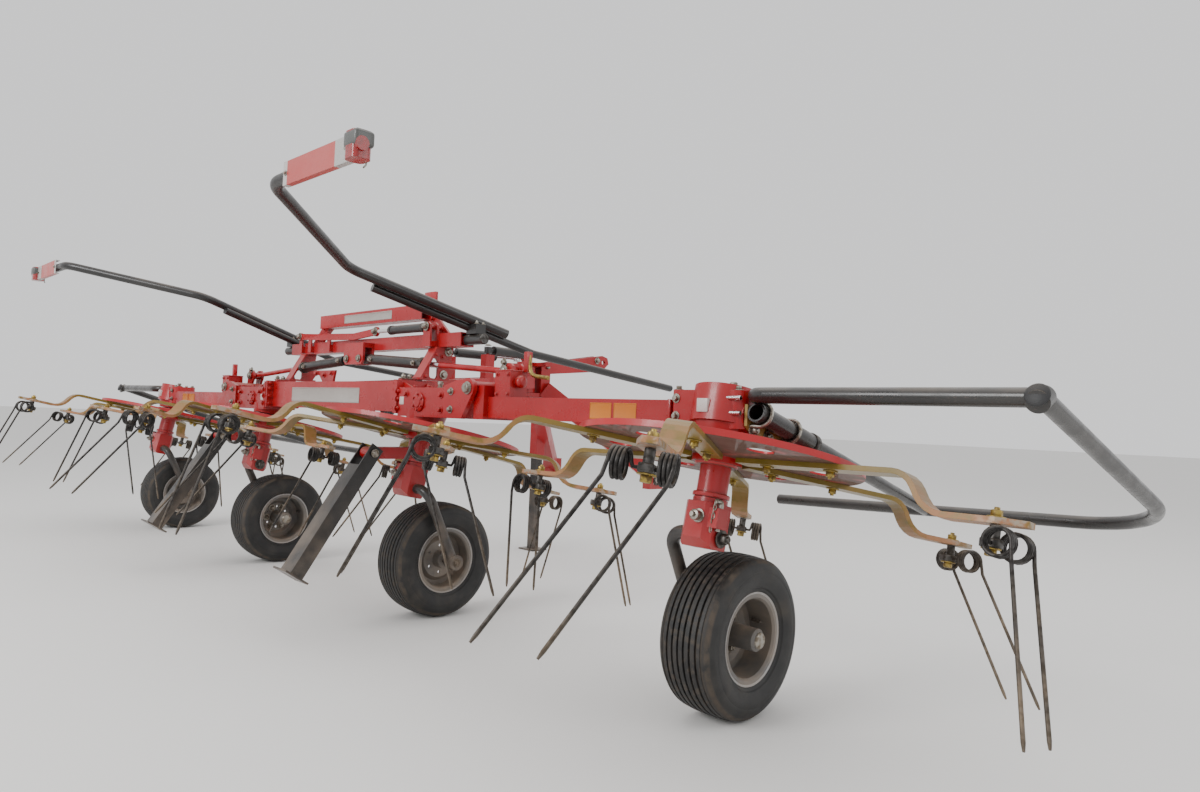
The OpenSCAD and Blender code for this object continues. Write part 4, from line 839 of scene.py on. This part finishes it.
# The bead ring is painted paler than the rim as a painted highlight along the flange.
bead_painted_highlight = enamel("rim_bead_painted_highlight", (0.36, 0.36, 0.36), (0.28, 0.275, 0.27), 0.30, 0.6, 0.2, 0.5)
coated(rim_painted_shade, "rim_left_outer", "rim_left_inner", "rim_right_inner", "rim_right_outer")
for name, x, *_, side, carrier in ROTORS:
    body = f"wheel_{name}"
    tyre = turned(f"ribbed_tyre_{name}", [(r / 1000, s / 1000) for r, s in tyre_line], 90)
    tyre.data.transform(facing(at(x, WHEEL_Y, WHEEL_Z), (1, 0, 0)))
    fitted(tyre, body, tyre_rubber(f"tyre_rubber_{name}", x), 28)
    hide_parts(f"tyre_{name}")
    outward = -side
    hub = []
    for a in [math.radians(60 * i) for i in range(6)]:
        stud = at(x + outward * -19.5, WHEEL_Y + 48 * math.cos(a), WHEEL_Z + 48 * math.sin(a))
        hub.append(facing(stud, (outward, 0, 0), a))
    fitted(repeated(hex_bolt(0.017, 0.007), hub, f"wheel_nuts_{name}"), body, zinc)
    ring(f"hub_cap_{name}", [facing(at(x + outward * 79, WHEEL_Y, WHEEL_Z), (outward, 0, 0))],
         [(0, 13), (14, 13), (18.5, 11.6), (20.5, 9), (20.8, 6), (20.8, -2), (0, -2)],
         body, zinc)
    valve = bent(f"valve_{name}", [at(x + outward * out, WHEEL_Y + back, WHEEL_Z + rise)
                                   for out, back, rise in ((4, 88, 24), (34, 84, 23))], 0.0042)
    fitted(valve, body, black_rubber)
    ring(f"rim_bead_{name}", [facing(at(x + look * 66, WHEEL_Y, WHEEL_Z), (look, 0, 0)) for look in (-1, 1)],
         [(108, -3), (113, -3), (115.4, -1), (116, 0.8), (115.4, 2.2), (113.6, 2.6), (111.8, 1.2),
          (110, -0.6), (108, -1), (108, -3)], body, bead_painted_highlight, 72)

# Drawbar, input gearbox and drive shaft: the gearbox has a bolted cover and filler plug. The shaft is two
# telescoping tubes in plastic guards with ribbed bells, and hangs in the drawbar's cradle when it is parked.
guard_plastic = Finish("guard_plastic", 0.45)
plastic_dust = guard_plastic.dust(0.45, 0.3)
plastic = guard_plastic.mixed(guard_plastic.spots(0.02, 0.4, 0.7),
                              (0.018, 0.018, 0.019), (0.032, 0.031, 0.03))
guard_plastic = guard_plastic.surface(guard_plastic.mixed(plastic_dust, plastic, (0.26, 0.2, 0.15)),
                                      guard_plastic.between(plastic_dust, 0, 1, 0.42, 0.8), 0.0012, 0.15)
coated(guard_plastic, "drive_shaft")
bolted("gearbox_bolts", "frame", [((x, 120.5, z), (0, 1, 0)) for x in (-58, 58) for z in (716, 755, 794)], 14)
ring("gearbox_plug", [facing(at(30, 85, 810.2), (0, 0, 1))],
     [(0, 0), (12, 0), (12, 4), (8, 5), (8, 12), (0, 12)], "frame", zinc, 6)
ring("guard_bands", [facing(at(0, y, 755), (0, 1, 0)) for y in (252, 470, 700)],
     [(34, -7), (37.4, -7), (38.4, -5), (38.4, 5), (37.4, 7), (34, 7), (34, -7)], "frame", guard_plastic,
     40)
bolted("drawbar_head_bolts", "frame", [((x, 889.9, 900), (0, -1, 0)) for x in (-60, 60)], 18)
ring("damper_post_caps", [facing(at(side * 150, 640, 1046.2), (0, 0, 1)) for side in (-1, 1)],
     [(0, 0), (15, 0), (15, 3), (10, 3.5), (9, 7), (0, 8)], "frame", zinc, 28)

# Warning boards and lamps: folded sheet trays on the bent bars, red with a white band at each end. Each lamp
# is a grey plastic cap over a red ribbed lens, with a wire hook for a lead.
inner_band = within(("X|", 1.146, 1.168))
outer_band = within(("X|", 1.412, 1.483))
board_print = enamel("board_print", (0.44, 0.060, 0.052), (0.48, 0.095, 0.085), 0.32, 0.3, 0.2, 0.1, masks=(
    (inner_band, (0.46, 0.44, 0.42), 0.05), (outer_band, (0.40, 0.40, 0.38), 0.05)))
coated(board_print, "boards")
lens = Finish("lamp_lens_plastic", 0.18, coat=0.6)
ribs = lens.node("ShaderNodeTexWave", bands_direction="Z")
ribs.inputs["Scale"].default_value = 120
lens.feed(ribs.inputs["Vector"], lens.place.outputs["Object"])
tinted = lens.mixed(lens.spots(0.01, 0.4, 0.7), (0.30, 0.006, 0.006), (0.20, 0.005, 0.005))
grey_end = within(("X|", 1.5376, 1.6))(lens)
lens = lens.surface(lens.mixed(grey_end, tinted, (0.20, 0.205, 0.19)),
                    lens.between(lens.spots(0.008, 0.4, 0.7), 0, 1, 0.14, 0.3),
                    strength=0.5, height=ribs.outputs[0])
coated(lens, "lamps")
lamp_grey = enamel("lamp_cap_plastic", (0.075, 0.078, 0.074), (0.12, 0.122, 0.116), 0.42, 0.1, 0.3, 0.1)
for name, side in SIDES:
    bolted(f"board_rivets_{name}", "frame", [((side * x, -796.2, 1307), (0, -1, 0)) for x in (1161, 1467)], 7)
    lamp_x = side * 1509.2
    cap = block(f"lamp_cap_{name}", (lamp_x - 28.6, -813.2, 1301), (lamp_x + 28.0, -764.8, 1336.8), 7, 3)
    pressed(cap, UPWARD, 0.004, 0.0015, -0.0012)
    fitted(cap, "frame", lamp_grey)
    hook = bent(f"lamp_hook_{name}", [at(side * x, y, z) for x, y, z in (
        (1500, -770, 1300), (1500, -764, 1290), (1500, -764, 1272), (1488, -764, 1268))],
        0.002, 0.004, sides=1)
    fitted(hook, "frame", zinc)

# Bent bars: black painted round tube. Four nuts clamp each in its saddle, and the rear end is plugged.
ring("bar_plugs", [facing(at(side * 775, 1200, 884), (0, 0.98, -0.17)) for side in (-1, 1)],
     [(0, -1), (14, -1), (15.3, 0), (14, 4), (0, 5)], "frame", black_rubber, 28)
bolted("saddle_nuts", "frame", [((side * x, y, 1055.2), (0, 0, 1)) for side in (-1, 1)
                                for x in (714, 756) for y in (116, 144)], 11, zinc, 6)

# Headstock, stands and dampers: welded plate with bare link pins that linch pins close. The front stand is
# a square tube with a row of pin holes under a spring pin, and the rear stands hang on capped pivots.
red_head = enamel("red_headstock_enamel", fresh_red, faded_red, 0.28, masks=(
    (within(("X|", 0.4123, 0.6), ("Y", 1.19, 1.24), ("Z", 0.41, 0.45)), (0.42, 0.40, 0.37), 0.0),))
coated(red_head, "headstock")
for name, side in SIDES:
    loop = []
    for i in range(24):
        a = 2 * math.pi * i / 24
        loop.append(at(side * 494, 1560 + 22 * math.cos(a), 440 + 24 * math.sin(a)))
    fitted(bent(f"linch_ring_{name}", loop, 0.002, cyclic=True, sides=1), "headstock", zinc)
    linch = bent(f"linch_pin_{name}", [at(side * 494, 1560, 408), at(side * 494, 1560, 462)], 0.0042)
    fitted(linch, "headstock", zinc)
    ring(f"link_washer_{name}", [facing(at(side * 412.8, 1560, 430), (side, 0, 0))],
         [(14.2, 0), (26, 0), (26, 4), (14.2, 4)], "headstock", dark_steel, 32)
    post = at(side * 150, 640, 1025)
    run = at(side * 115, 1030, 1025) - post
    ring(f"damper_gland_{name}", [facing(post + run.normalized() * 0.245, run)],
         [(0, 0), (23, 0), (24, 2), (24, 14), (22, 16), (10, 17), (0, 17)],
         f"damper_{name}", dark_steel)
    ring(f"stand_pivot_{name}",
         [facing(at(side * INNER_X + look * 40, -230, 582), (look, 0, 0)) for look in (-1, 1)],
         [(0, 0), (14, 0), (14, 3), (9, 3.4), (8, 6), (0, 6.5)], "frame", zinc, 24)
bolted("mast_bolts", "headstock", [((side * 44.2, y, z), (side, 0, 0)) for side in (-1, 1)
                                   for y, z in ((1100, 985), (1460, 1046))], 20, zinc, 6)
ring("swivel_cap", [facing(at(0, 1000, 1010.5), (0, 0, 1))],
     [(0, 0), (30, 0), (30, 5), (27, 8), (10, 9), (8, 16), (0, 16)], "headstock", red_head)
STAND_FACE_X = -265 + 22.1
ring("stand_holes", [facing(at(STAND_FACE_X, 1330, z), (1, 0, 0)) for z in range(120, 520, 60)],
     [(0, 0.05), (6.5, 0.05), (7.5, 0.2), (9.5, 0.25), (10, 0), (0, 0)],
     "front_stand", dark_steel, 24)
spring_pin = bent("stand_spring_pin",
                  [at(x, 1330, z) for x, z in ((-300, 640), (-226, 640), (-222, 620))], 0.006, 0.008)
fitted(spring_pin, "headstock", zinc)
